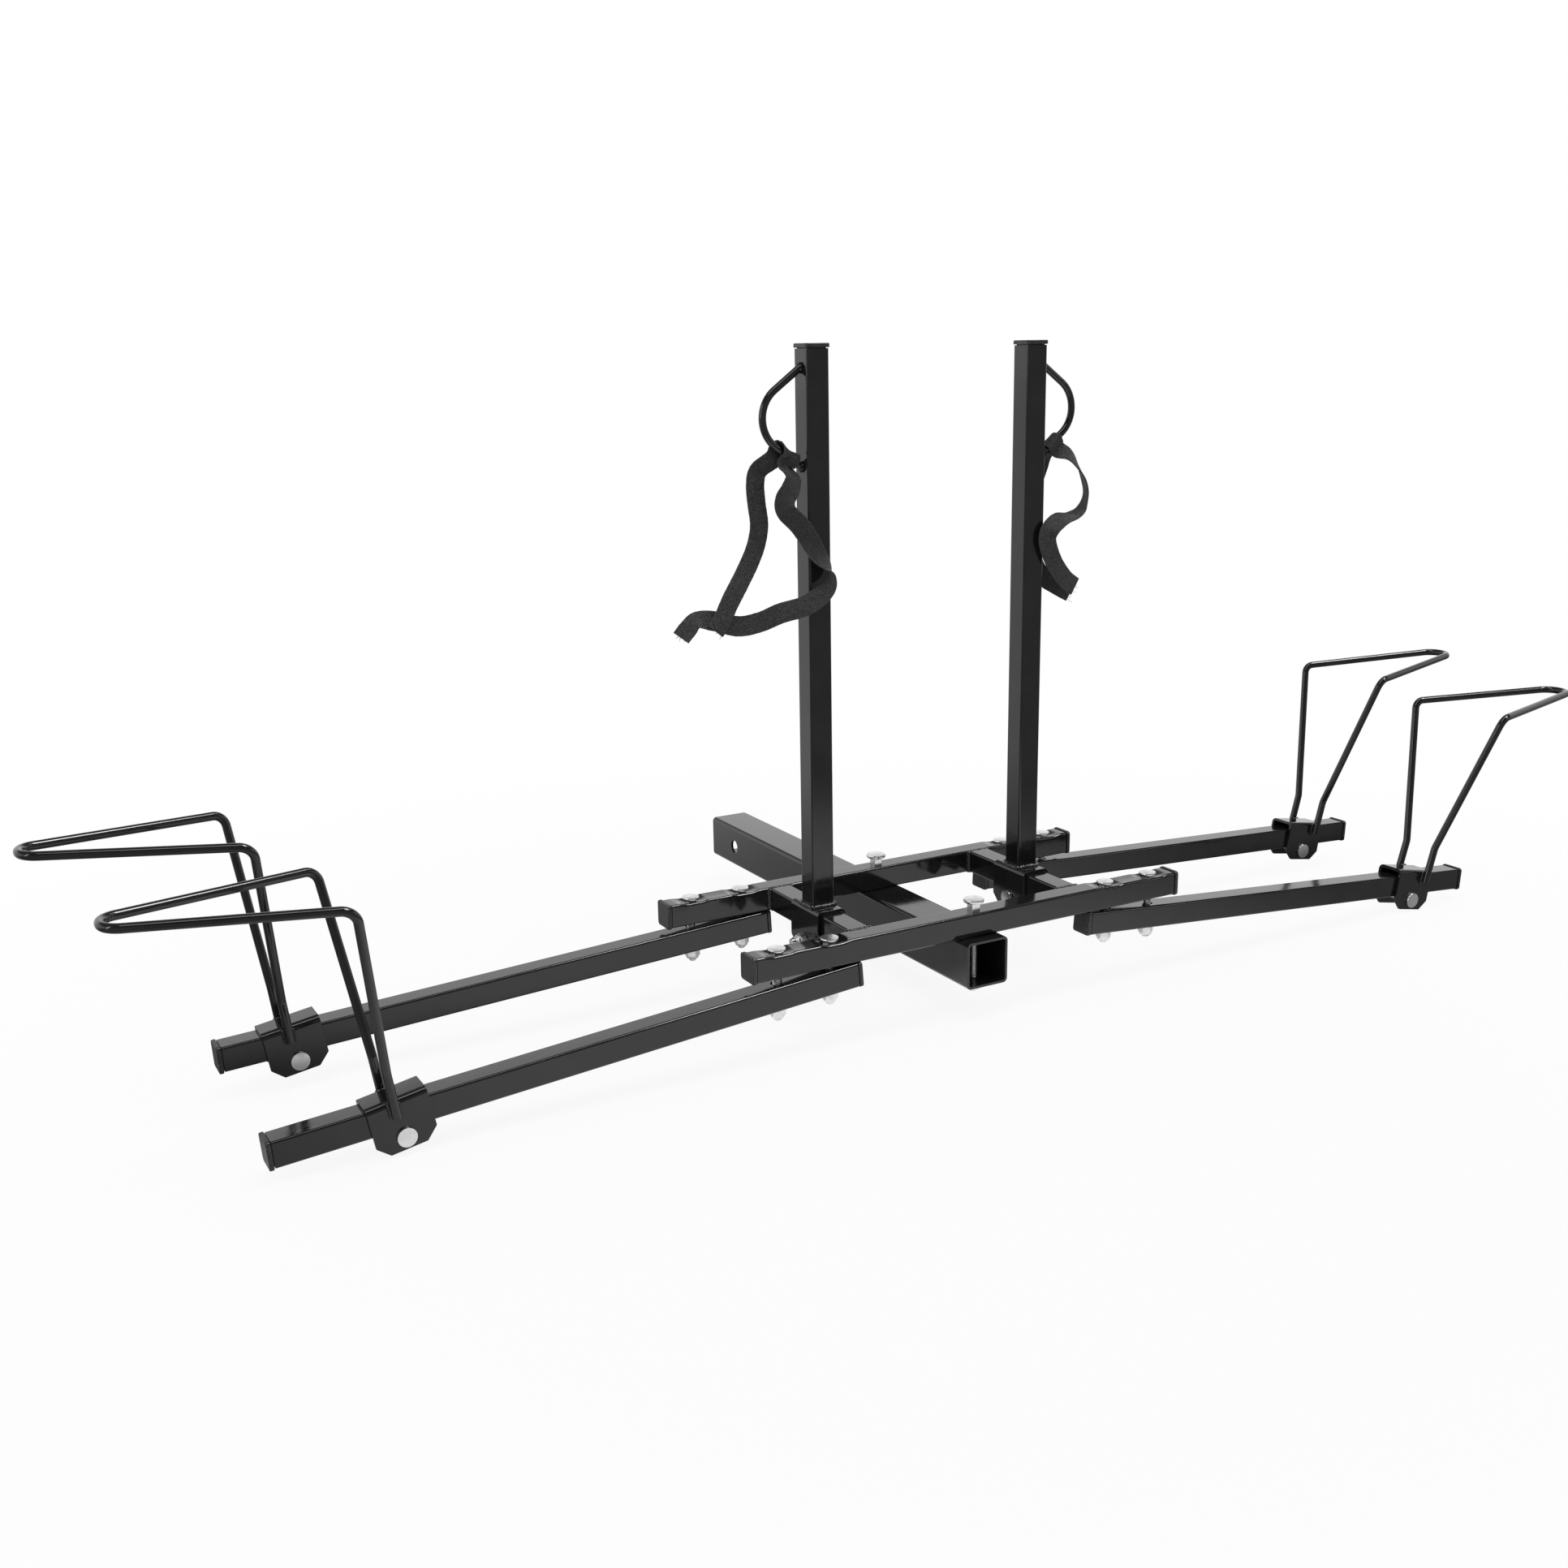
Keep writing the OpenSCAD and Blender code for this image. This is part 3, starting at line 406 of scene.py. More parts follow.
# Cross tubes
# Two short pieces of the same tube between the crossbars, fillet welded by hand at both
# ends. The masts are clamped on them.
mast_gap = 238.8
mast_x = (mast_gap + tube_width) / 2
hand = {-1: "left", 1: "right"}
for side, name in hand.items():
    rack_piece(f"{name}_cross_tube", small_tube(bar_pitch - tube_width),
               moved(side * mast_x, front_y + tube_half, bar_middle) @ turned(-90, "X"),
               [coat_lengthwise], "frame", "paint", f"cross_tube_{name}")


# Frame welds
# Beads of wire welding under the paint. Each bead is a row of overlapping drops that
# the welder laid down one after another, so no two are quite alike.
weld_chance = random.Random(41)


def weld_bead(shape, start, end, radius, flatten=0.85):
    """Lays overlapping drops of weld from one point to another."""
    pace = 0.55 * radius
    start, end = Vector(start), Vector(end)
    count = max(2, math.ceil((end - start).length / pace) + 1)
    for i in range(count):
        here = start.lerp(end, i / (count - 1))
        wander = [weld_chance.uniform(-0.1, 0.1) * radius for _ in range(3)]
        size = radius * weld_chance.uniform(0.88, 1.1)
        spin = weld_chance.uniform(0, 360)
        bmesh.ops.create_icosphere(
            shape, subdivisions=3, radius=size,
            matrix=Matrix.Translation(here + Vector(wander)) @ turned(spin, "Z")
            @ Matrix.Diagonal((1, 1, flatten, 1)))


upright_bead = 3.3
flat_bead = 0.62 * upright_bead
flat_bead_half = 10
bead_out = 0.2
flat_bead_sink = 0.8
frame_beads = bmesh.new()
for side in hand:
    for y, inward in ((front_y, 1), (rear_y, -1)):
        seam = y + inward * tube_half
        for cheek in (-1, 1):
            x = side * mast_x + cheek * (tube_half + bead_out)
            ends = [(x, seam + bead_out * inward, z)
                    for z in (bar_bottom + tube_corner, bar_top - tube_corner)]
            weld_bead(frame_beads, *ends, upright_bead)
        for z in (bar_bottom + flat_bead_sink, bar_top - flat_bead_sink):
            weld_bead(frame_beads, (side * mast_x - flat_bead_half, seam, z),
                      (side * mast_x + flat_bead_half, seam, z), flat_bead)
rack_piece("frame_weld_beads", frame_beads, Matrix(), [coat_plain], "frame", "paint",
           "frame_welds")


# Crossbar caps
# Black polyethylene plugs knocked into the tube ends. Each has a square flange with
# rounded edges and a plug inside the tube.
cap_proud = 0.5
cap_rim = 1.1
cap_plug = 12
crossbar_plug = 5
cap_groove = 0.8
plug_play = 0.6
plug_corner = 0.8
front_round = 1.1
back_round = 0.6


def cap_plastic():
    """Injection moulded black polyethylene: satin, with a fine moulded grain and light
    scuffs on the edges that stand proud."""
    # The grain is drawn about three times coarser than a real moulded one.
    grain_size = 0.0011
    scuff_size = 1 / 160
    finish, add, place = new_finish("black_polyethylene_caps")
    grain = add("TexNoise", (place, 1 / grain_size, 3))
    scuff = add("TexNoise", {"Vector": place, "Scale": 1 / scuff_size,
                             "Detail": 4, "Distortion": 1.5})
    edge = add("Attribute", attribute_name="edge").outputs["Fac"]
    rubbed = add("MapRange", (scuff, 0.45, 0.68, 0, 1))
    rubbed_edge = add("Math", (rubbed, edge), operation="MULTIPLY")
    colour = add("Mix", (rubbed_edge, "#1b1b1c", "#3a3a3b"), data_type="RGBA")
    roughness = add("MapRange", (scuff, 0.3, 0.7, 0.34, 0.5))
    bump = add("Bump", {"Height": grain, "Strength": 0.18, "Distance": 0.0003})
    shader = add("BsdfPrincipled", {
        "Base Color": colour, "Roughness": roughness, "Normal": bump, "IOR": 1.51})
    add("OutputMaterial", {"Surface": shader})
    return finish


black_plastic = cap_plastic()


def end_cap(plug=cap_plug, proud=cap_rim):
    """A cap that faces +Z, with the tube's sawn end at the origin."""
    shape = bmesh.new()
    square_bar(shape, tube_width + 2 * proud, tube_corner + proud,
               cap_flange - cap_groove, start=cap_groove)
    back, front = [[e for e in shape.edges
                    if all(abs(v.co.z - z) < 0.01 for v in e.verts)]
                   for z in (cap_groove, cap_flange)]
    rounded(shape, front, front_round, segments=4)
    rounded(shape, back, back_round, segments=2)
    square_bar(shape, tube_width - 2 * tube_wall - plug_play, plug_corner,
               plug + cap_groove + 0.5, start=-plug)
    return shape


def gathered(shapes):
    """Puts several drawn shapes into one."""
    whole = bmesh.new()
    for shape in shapes:
        mesh = into_mesh("gathered", shape)
        whole.from_mesh(mesh)
        bpy.data.meshes.remove(mesh)
    return whole


bar_end = moved(crossbar_length / 2 - cap_flange, 0, bar_middle)
rack_piece("crossbar_end_caps", gathered(
    [set_at(end_cap(crossbar_plug),
            on_side(side) @ moved(0, y, 0) @ bar_end @ turned(90, "Y"))
     for side in hand for y in row_y.values()]),
    Matrix(), [black_plastic], "frame", "cap", "crossbar_caps")


# Arms
# Four lengths of 1 inch tube bolted under the crossbars. They droop a little outward,
# because the crossbars bear on their inner ends only.
overall_length = 1470.7
arm_split = 288
arm_gap = 0.3
arm_hole = 12
droops = {"front": 4.6, "rear": 3}
arm_length = (overall_length - arm_split) / 2 / math.cos(math.radians(droops["front"]))
arm_top = bar_bottom - arm_gap - cap_proud
corners = [(row, side) for row in row_y for side in hand]


def in_arm(row, side):
    """The place of an arm: X outward along it, its top inner edge at the origin."""
    return (on_side(side) @ moved(arm_split / 2, row_y[row], arm_top)
            @ turned(droops[row], "Y"))


def along_arm(row, side, distance):
    """A place on the middle line of an arm, at a distance from its inner end."""
    return in_arm(row, side) @ moved(distance, 0, -tube_half)


def arm_station(x, droop):
    """Distance along a drooping arm at which an upright bolt crosses its middle."""
    slope = math.radians(droop)
    return (x - arm_split / 2 + tube_half * math.sin(slope)) / math.cos(slope)


for row, side in corners:
    arm_tube = set_at(small_tube(arm_length - 2 * cap_flange),
                      moved(cap_flange, 0, -tube_half) @ turned(90, "Y"))
    arm_holes = [(moved(arm_station(x, droops[row]), 0, 0), arm_hole)
                 for x in arm_bolt_places]
    rack_piece(f"{row}_{hand[side]}_arm_tube", cut(arm_tube, drills(arm_holes)),
               in_arm(row, side), [coat_across], "frame", "paint",
               f"arm_{row}_{hand[side]}")

for end, distance, turn, proud in (("outer", arm_length - cap_flange, 90, cap_rim),
                                   ("inner", cap_flange, -90, cap_proud)):
    rack_piece(f"arm_{end}_end_caps", gathered(
        [set_at(end_cap(proud=proud),
                along_arm(row, side, distance) @ turned(turn, "Y"))
         for row, side in corners]),
        Matrix(), [black_plastic], "frame", "cap", f"arm_{end}_caps")


# Bolts and lock nuts
# Carriage bolts in bright zinc: a wide flat dome, a square neck that keeps the bolt
# from turning, and a rolled thread. Each nut has a nylon ring that grips the thread.
head_width = 18.6
head_height = 3.4
nut_flats = 14.3
nut_height = 10
bolt_tail = 3
thread_pitch = 1.5
thread_depth = 0.6 * thread_pitch
neck_corner = 0.7
collar_share = 0.28


def bright_zinc(name, colour, dull_colour, roughest):
    """Zinc plating with a clear bright passivation: a pale silver with a satin shine,
    cloudier in patches where it has been handled, with faint scratches."""
    # The scratches are drawn several times coarser than real ones.
    cloud_size = 0.007
    scratch_size = 0.0008
    finish, add, place = new_finish(name)
    cloud = add("TexNoise", (place, 1 / cloud_size, 4, 0.6))
    scratch = add("TexNoise", (place, 1 / scratch_size, 1))
    mixed = add("Mix", (cloud, colour, dull_colour), data_type="RGBA")
    roughness = add("MapRange", (cloud, 0.35, 0.65, 0.24, roughest))
    bump = add("Bump", {"Height": scratch, "Strength": 0.06, "Distance": 0.0002})
    shader = add("BsdfPrincipled", {
        "Base Color": mixed, "Roughness": roughness, "Normal": bump, "Metallic": 1})
    add("OutputMaterial", {"Surface": shader})
    return finish


def nylon_ring():
    """Natural nylon 66: milky, slightly waxy, with a faint mottle."""
    mottle_size = 1 / 600
    finish, add, place = new_finish("natural_nylon")
    mottle = add("TexNoise", (place, 1 / mottle_size, 3))
    colour = add("Mix", (mottle, "#e6e6df", "#cfcfc6"), data_type="RGBA")
    roughness = add("MapRange", (mottle, 0, 1, 0.35, 0.5))
    shader = add("BsdfPrincipled", {
        "Base Color": colour, "Roughness": roughness, "IOR": 1.53})
    add("OutputMaterial", {"Surface": shader})
    return finish


zinc_bolts = bright_zinc("bright_zinc_bolts", "#e6e6e6", "#cdcdce", 0.34)
zinc_nuts = bright_zinc("bright_zinc_nuts", "#e9e9e8", "#c9c9ca", 0.46)
nut_nylon = nylon_ring()


def spun(outline, steps, **options):
    """An outline of (radius, height) points turned once round the Z axis."""
    shape = bmesh.new()
    verts = [shape.verts.new((radius, 0, height)) for radius, height in outline]
    edges = [shape.edges.new(pair) for pair in zip(verts, verts[1:])]
    bmesh.ops.spin(shape, geom=verts + edges, cent=(0, 0, 0), axis=(0, 0, 1),
                   angle=math.tau, steps=steps, **options)
    bmesh.ops.remove_doubles(shape, verts=shape.verts, dist=0.002)
    return shape


def lathe(outline, steps=48):
    """A turned shape with its faces outward."""
    shape = spun(outline, steps, use_merge=True)
    face_outward(shape)
    return shape


def thread(width, length):
    """A rolled thread down from the origin: a zigzag edge spun once while it sinks by
    one pitch, round a plain core with a pointed end."""
    steps = 24
    point_length, point_taper = 1.2, 1
    core = width / 2 - thread_depth
    zigzag = [(core if i % 2 else width / 2, -i * thread_pitch / 2)
              for i in range(2 * int(length / thread_pitch) - 3)]
    shape = spun(zigzag, steps, dvec=(0, 0, -thread_pitch / steps))
    rims = [e for e in shape.edges if e.is_boundary]
    bmesh.ops.holes_fill(shape, edges=rims, sides=0)
    face_outward(shape)
    return gathered([shape, lathe(
        [(0, 0), (core, 0), (core, -length + point_length),
         (core - point_taper, -length), (0, -length)], steps)])


def carriage_bolt(width, head, height, neck, length):
    """A carriage bolt whose head's underside is at the origin, pointing down. Its head
    is a flat dome with a rounded rim."""
    dome_steps = 12
    dome_inset = 0.35
    # Each point of the rim lies inside the head's half width by so much, at this share
    # of the rim's height.
    rim_points = ((0.08, 0.72), (0, 0.5), (0.1, 0.2), (0.5, 0))
    rim_share = 0.85
    rim = rim_share * height
    dome = height - rim
    ball = (head * head / 4 + dome * dome) / (2 * dome)
    outline = [(0, height)]
    for i in range(1, dome_steps + 1):
        radius = (head / 2 - dome_inset) * i / dome_steps
        outline.append((radius,
                        height - ball + math.sqrt(ball * ball - radius * radius)))
    outline += [(head / 2 - inset, rim * share) for inset, share in rim_points]
    neck_part = bmesh.new()
    square_bar(neck_part, width, neck_corner, neck, start=-neck)
    return gathered([lathe(outline + [(0, 0)], 64), neck_part, thread(width, length)])


def lock_nut(flats, height, bore):
    """A lock nut with its bearing face at the origin, pointing down: a chamfered
    hexagon and a round collar that is rolled over a nylon ring."""
    play = 0.05
    chamfer_inset, chamfer_height = 0.2, 1.1
    seam = (collar_share - 1) * height
    lip = flats / 2
    inner = bore / 2 + play
    radius = flats / math.sqrt(3)
    body = bmesh.new()
    bmesh.ops.create_cone(body, cap_ends=True, segments=6, radius1=radius,
                          radius2=radius, depth=-seam, matrix=moved(0, 0, seam / 2))
    chamfer = lathe([(0, 0), (lip - chamfer_inset, 0), (lip + 2, -chamfer_height),
                     (lip + 2, seam + chamfer_height), (lip - chamfer_inset, seam),
                     (0, seam)], 72)
    body = cut(cut(body, chamfer, "INTERSECT"), drills([(Matrix(), 2 * inner)]))
    ring = lathe([(inner, seam + 0.4), (lip - 0.35, seam + 0.4),
                  (lip - 0.5, 1 - height), (lip - 0.9, 0.35 - height),
                  (lip - 1.6, -height), (lip - 2.1, 0.15 - height),
                  (inner, 0.45 - height), (inner, seam + 0.4)])
    for face in ring.faces:
        middle = face.calc_center_median()
        if math.hypot(middle.x, middle.y) < lip - 2.1 and middle.z < 1 - height:
            face.material_index = 1
    return gathered([body, ring])


def arm_nut_top(x, droop):
    """Height at which the nut under an arm meets its drooping underside."""
    play = 0.05
    slope = math.radians(droop)
    return (arm_top - (x + nut_flats / math.sqrt(3) - arm_split / 2)
            * math.tan(slope) - tube_width / math.cos(slope) - play)


arm_neck = 2.6
arm_head_z = bar_top - dent_depth + arm_neck
arm_bolts, arm_nuts = [], []
for row, side in corners:
    for x in arm_bolt_places:
        nut_top = arm_nut_top(x, droops[row])
        length = arm_head_z - nut_top + nut_height + bolt_tail
        arm_bolts.append(set_at(
            carriage_bolt(arm_bolt, head_width, head_height, arm_neck, length),
            moved(side * x, row_y[row], arm_head_z)))
        arm_nuts.append(set_at(lock_nut(nut_flats, nut_height, arm_bolt),
                               moved(side * x, row_y[row], nut_top)))
rack_piece("arm_carriage_bolts", gathered(arm_bolts), Matrix(), [zinc_bolts], "frame",
           "zinc", "arm_bolts")
rack_piece("arm_lock_nuts", gathered(arm_nuts), Matrix(), [zinc_nuts, nut_nylon],
           "frame", "nut", "arm_nuts")

hitch_head_width = 21.5
hitch_head_height = 4
hitch_neck = 9
hitch_nut_flats = 17
hitch_bolt_length = hitch_neck + tube_width + hitch_width + nut_height + bolt_tail
rack_piece("hitch_carriage_bolts", gathered(
    [set_at(carriage_bolt(hitch_bolt, hitch_head_width, hitch_head_height, hitch_neck,
                          hitch_bolt_length),
            moved(0, y, bar_top + hitch_neck)) for y in row_y.values()]),
    Matrix(), [zinc_bolts], "frame", "zinc", "hitch_bolts")
rack_piece("hitch_lock_nuts", gathered(
    [set_at(lock_nut(hitch_nut_flats, nut_height, hitch_bolt), moved(0, y, -bar_bottom))
     for y in row_y.values()]),
    Matrix(), [zinc_nuts, nut_nylon], "frame", "nut", "hitch_nuts")


# Masts
# Two upright tubes, each welded on a clamp saddle that straddles a cross tube. A bolt
# draws the saddle's cheeks together, and the mast slides to suit the bike's frame.
mast_height = 599.4
mast_top = bar_bottom + mast_height
saddle_plate = 3.5
saddle_length = 56
saddle_edge = 0.45
cheek_gap = 0.8
saddle_bend = 6
bolt_drop = 8.3
cheek_foot = 12
cheek_chamfer = 11
clamp_hole = 10
clamp_bolt_length = 50.8
saddle_width = tube_width + 2 * (cheek_gap + saddle_plate)
saddle_foot = tube_width + bolt_drop + cheek_foot
saddle_play = 0.2
saddle_seat = bar_top + saddle_play
clamp_bolt_z = -tube_width - bolt_drop


def saddle():
    """A plate bent over a tube along X, whose top face is at the origin. It is cut with
    chamfered corners, bent twice and punched for the bolt."""
    shape = bmesh.new()
    half, edge = saddle_length / 2, saddle_width / 2
    low = cheek_chamfer - saddle_foot
    cheeks = []
    for side in (-1, 1):
        outline = [(-half, saddle_plate), (half, saddle_plate), (half, low),
                   (half - cheek_chamfer, -saddle_foot),
                   (cheek_chamfer - half, -saddle_foot), (-half, low)]
        verts = [shape.verts.new((x, side * edge, z)) for x, z in outline]
        shape.faces.new(verts)
        cheeks.append(shape.edges.get(verts[:2]))
    bmesh.ops.bridge_loops(shape, edges=cheeks)
    face_outward(shape)
    rounded(shape, cheeks, saddle_bend, segments=8)
    top = next(f for f in shape.faces if abs(f.normal.z) > 0.9)
    if top.normal.z < 0:
        bmesh.ops.reverse_faces(shape, faces=shape.faces)
    bmesh.ops.solidify(shape, geom=shape.faces, thickness=saddle_plate)
    face_outward(shape)
    hole = moved(0, 0, clamp_bolt_z) @ turned(90, "X")
    shape = cut(shape, drills([(hole, clamp_hole)]))
    rims = [e for e in sharp_edges(shape, 32)
            if math.hypot((e.verts[0].co.x + e.verts[1].co.x) / 2,
                          (e.verts[0].co.z + e.verts[1].co.z) / 2 - clamp_bolt_z)
            > 0.6 * clamp_hole]
    rounded(shape, rims, saddle_edge, segments=3)
    return shape


def clamp(kind, name, place, body):
    """The saddle of a mast or a loop, with its bolt and nut. The bolt's head is on the
    cheek that faces -Y."""
    def through(y):
        return moved(0, y, clamp_bolt_z) @ turned(90, "X")

    bolt = carriage_bolt(arm_bolt, head_width, head_height, saddle_plate,
                         clamp_bolt_length)
    nut = lock_nut(nut_flats, nut_height, arm_bolt)
    rack_piece(f"{name}_{kind}_clamp_plate", saddle(), place, [coat_plain], body,
               "paint", f"{kind}_saddle_{name}")
    rack_piece(f"{name}_{kind}_carriage_bolt", set_at(bolt, through(-saddle_width / 2)),
               place, [zinc_bolts], body, "zinc", f"{kind}_bolt_{name}")
    rack_piece(f"{name}_{kind}_lock_nut", set_at(nut, through(saddle_width / 2)), place,
               [zinc_nuts, nut_nylon], body, "nut", f"{kind}_nut_{name}")


def in_mast_saddle(side):
    """The place of a mast's saddle: X along the cross tube, -Y to the rack's middle."""
    return on_side(side) @ moved(mast_x, middle_y, saddle_seat) @ turned(-90, "Z")


for side, name in hand.items():
    body = f"mast_clamp_{name}"
    foot = saddle_seat + saddle_plate
    rack_piece(f"{name}_mast_tube", small_tube(mast_top - cap_flange - foot),
               moved(side * mast_x, middle_y, foot), [coat_upright], body, "paint",
               f"mast_{name}")
    rack_piece(f"{name}_mast_end_cap", end_cap(),
               moved(side * mast_x, middle_y, mast_top - cap_flange), [black_plastic],
               body, "cap", f"mast_cap_{name}")
    clamp("mast", name, in_mast_saddle(side), body)


# Strap rings
# A short steel rod bent round a mandrel into an open ring and welded to the outer face
# of each mast. The strap hangs on its lower leg.
ring_drop = 70.4
ring_z = mast_top - ring_drop
ring_half = 48
ring_apex = 66
ring_bend = 33
ring_rod = 7.5
ring_root = -1.2
ring_slope = math.atan(ring_half / ring_apex)
mast_face = mast_x + tube_half


def aimed(place, way, ahead, up):
    """The place of something whose ahead axis points a way."""
    return Matrix.Translation(place) @ way.to_track_quat(ahead, up).to_matrix().to_4x4()


def only(kind, geometry):
    """The verts or the edges among what an operator gives back."""
    return [g for g in geometry if isinstance(g, kind)]


def bent_rod(route, bends, width, sides=24, sweep=6):
    """A rod that is bent as a bender does it: straight, round a die, straight again."""
    shape = bmesh.new()
    route = [Vector(point) for point in route]
    here = route[0]
    way = (route[1] - here).normalized()
    bmesh.ops.create_circle(shape, segments=sides, radius=width / 2,
                            matrix=aimed(here, way, "Z", "X"))
    first = ring = list(shape.edges)

    def draw_on(ring, shift):
        made = bmesh.ops.extrude_edge_only(shape, edges=ring)["geom"]
        bmesh.ops.translate(shape, vec=shift, verts=only(bmesh.types.BMVert, made))
        return only(bmesh.types.BMEdge, made)

    for before, corner, after, radius in zip(route, route[1:], route[2:], bends):
        way, next_way = (corner - before).normalized(), (after - corner).normalized()
        angle = way.angle(next_way)
        setback = radius * math.tan(angle / 2)
        start = corner - way * setback
        ring = draw_on(ring, start - here)
        axis = way.cross(next_way).normalized()
        verts = list(dict.fromkeys(v for e in ring for v in e.verts))
        made = bmesh.ops.spin(shape, geom=verts + ring,
                              cent=start + axis.cross(way) * radius, axis=axis,
                              angle=angle,
                              steps=max(2, math.ceil(math.degrees(angle) / sweep)))
        ring = only(bmesh.types.BMEdge, made["geom_last"])
        here = corner + next_way * setback
    ring = draw_on(ring, route[-1] - here)
    for rim in (first, ring):
        bmesh.ops.contextual_create(shape, geom=rim)
    bmesh.ops.remove_doubles(shape, verts=shape.verts, dist=0.0005)
    face_outward(shape)
    return shape


def ring_point(out, end):
    """A point on the ring's upper (1) or lower (-1) leg at a distance from the mast."""
    return Vector((mast_face + out, middle_y,
                   ring_z + end * (ring_half - out * math.tan(ring_slope))))


seam_spread = 1.04
seam_half = 10.5
bead_rise = 0.3
side_seam_bead = 3.7
end_seam_bead = 3.5
ring_bead = 1.9
ring_drops = 7
for side, name in hand.items():
    body = f"mast_clamp_{name}"
    ring_route = [ring_point(ring_root, 1), ring_point(ring_apex, 1),
                  ring_point(ring_root, -1)]
    rack_piece(f"{name}_strap_ring_rod", bent_rod(ring_route, [ring_bend], ring_rod),
               on_side(side), [coat_plain], body, "paint", f"strap_ring_{name}")
    beads = bmesh.new()
    place = in_mast_saddle(1)
    for end in (-1, 1):
        seam = end * tube_half * seam_spread
        weld_bead(beads, place @ Vector((seam, -seam_half, saddle_plate + bead_rise)),
                  place @ Vector((seam, seam_half, saddle_plate + bead_rise)),
                  side_seam_bead)
        weld_bead(beads, place @ Vector((-seam_half, seam, saddle_plate)),
                  place @ Vector((seam_half, seam, saddle_plate)), end_seam_bead)
        leg = ring_point(1, end)
        for i in range(ring_drops):
            angle = math.tau * i / ring_drops
            drop = leg + (Vector((0, math.cos(angle), math.sin(angle)))
                          * (ring_rod / 2 + bead_rise))
            weld_bead(beads, drop, drop + Vector((bead_rise, 0, 0)), ring_bead)
    rack_piece(f"{name}_mast_weld_beads", beads, on_side(side), [coat_plain], body,
               "paint", f"mast_weld_{name}")


# Wheel loops
# A steel rod bent into a long loop that cradles a wheel. Its two legs are welded to the
# cheeks of a clamp saddle that slides along the arm and is held by one bolt.
loop_rod = 8.5
loop_width = 129.5
loop_height = 214
loop_kink = 47
loop_foot = 4.5
loop_reach = 185
loop_rise = 5.5
loop_bends = (20, 14, 18, 18, 12, 20)
tip_half = 15
saddle_tilt = 6
lean = {-1: 4, 1: 12}
foot_shift = {-1: 3, 1: 12}
loop_inset = {("front", -1): 114, ("rear", -1): 70, ("front", 1): 87, ("rear", 1): 78}
saddle_lift = saddle_length / 2 * math.sin(math.radians(saddle_tilt)) + saddle_play
leg_play = 0.05
leg_y = saddle_width / 2 + loop_rod / 2 + leg_play
leg_bead = 1.9
leg_bead_in = 3.4
leg_bead_aside = 4.2
leg_bead_short = 2
over_bead = 2.2
over_bead_in = 3.6
over_bead_half = 4


def leg_point(side, y, z):
    """A point on a leg of a loop, which leans outward as it goes up."""
    return Vector((foot_shift[side] + (z - loop_foot)
                   * math.tan(math.radians(lean[side])), y, z))


for row, side in corners:
    name = f"{row}_{hand[side]}"
    body = f"wheel_loop_{name}"
    in_loop = along_arm(row, side, arm_length - loop_inset[row, side])
    crown = tube_half + saddle_lift
    half_route = [leg_point(side, 1, z) for z in (loop_foot, loop_kink, loop_height)]
    half_route.append(half_route[-1] + Vector(
        (loop_reach, 0, loop_reach * math.tan(math.radians(loop_rise)))))
    spread = (leg_y, leg_y, loop_width / 2, tip_half)
    near, far = [[Vector((p.x, leg * y, p.z)) for p, y in zip(half_route, spread)]
                 for leg in (-1, 1)]
    rod = bent_rod(near + far[::-1], loop_bends, loop_rod)
    rack_piece(f"{name}_wheel_loop_rod", rod, in_loop, [coat_plain], body, "paint",
               f"loop_{name}")
    clamp("loop", name, in_loop @ moved(0, 0, crown) @ turned(saddle_tilt, "Y"), body)
    beads = bmesh.new()
    for cheek in (-1, 1):
        y = cheek * (leg_y - leg_bead_in)
        for edge in (-1, 1):
            aside = Vector((edge * leg_bead_aside, 0, 0))
            weld_bead(beads, leg_point(side, y, loop_foot) + aside,
                      leg_point(side, y, crown - leg_bead_short) + aside, leg_bead, 1)
        over = leg_point(side, cheek * (leg_y - over_bead_in), crown)
        half = Vector((over_bead_half, 0, 0))
        weld_bead(beads, over - half, over + half, over_bead)
    rack_piece(f"{name}_loop_weld_beads", beads, in_loop, [coat_plain], body, "paint",
               f"loop_weld_{name}")


# Straps
# Hook and loop straps of woven nylon, 20 mm wide, folded over the lower leg of each
# ring. The front branch shows the napped loop face, the back branch the hook face.
strap_width = 20
strap_thickness = 1.8
strap_play = 0.7
strap_lift = ring_rod / 2 + strap_thickness / 2 + strap_play
strap_straight = 9
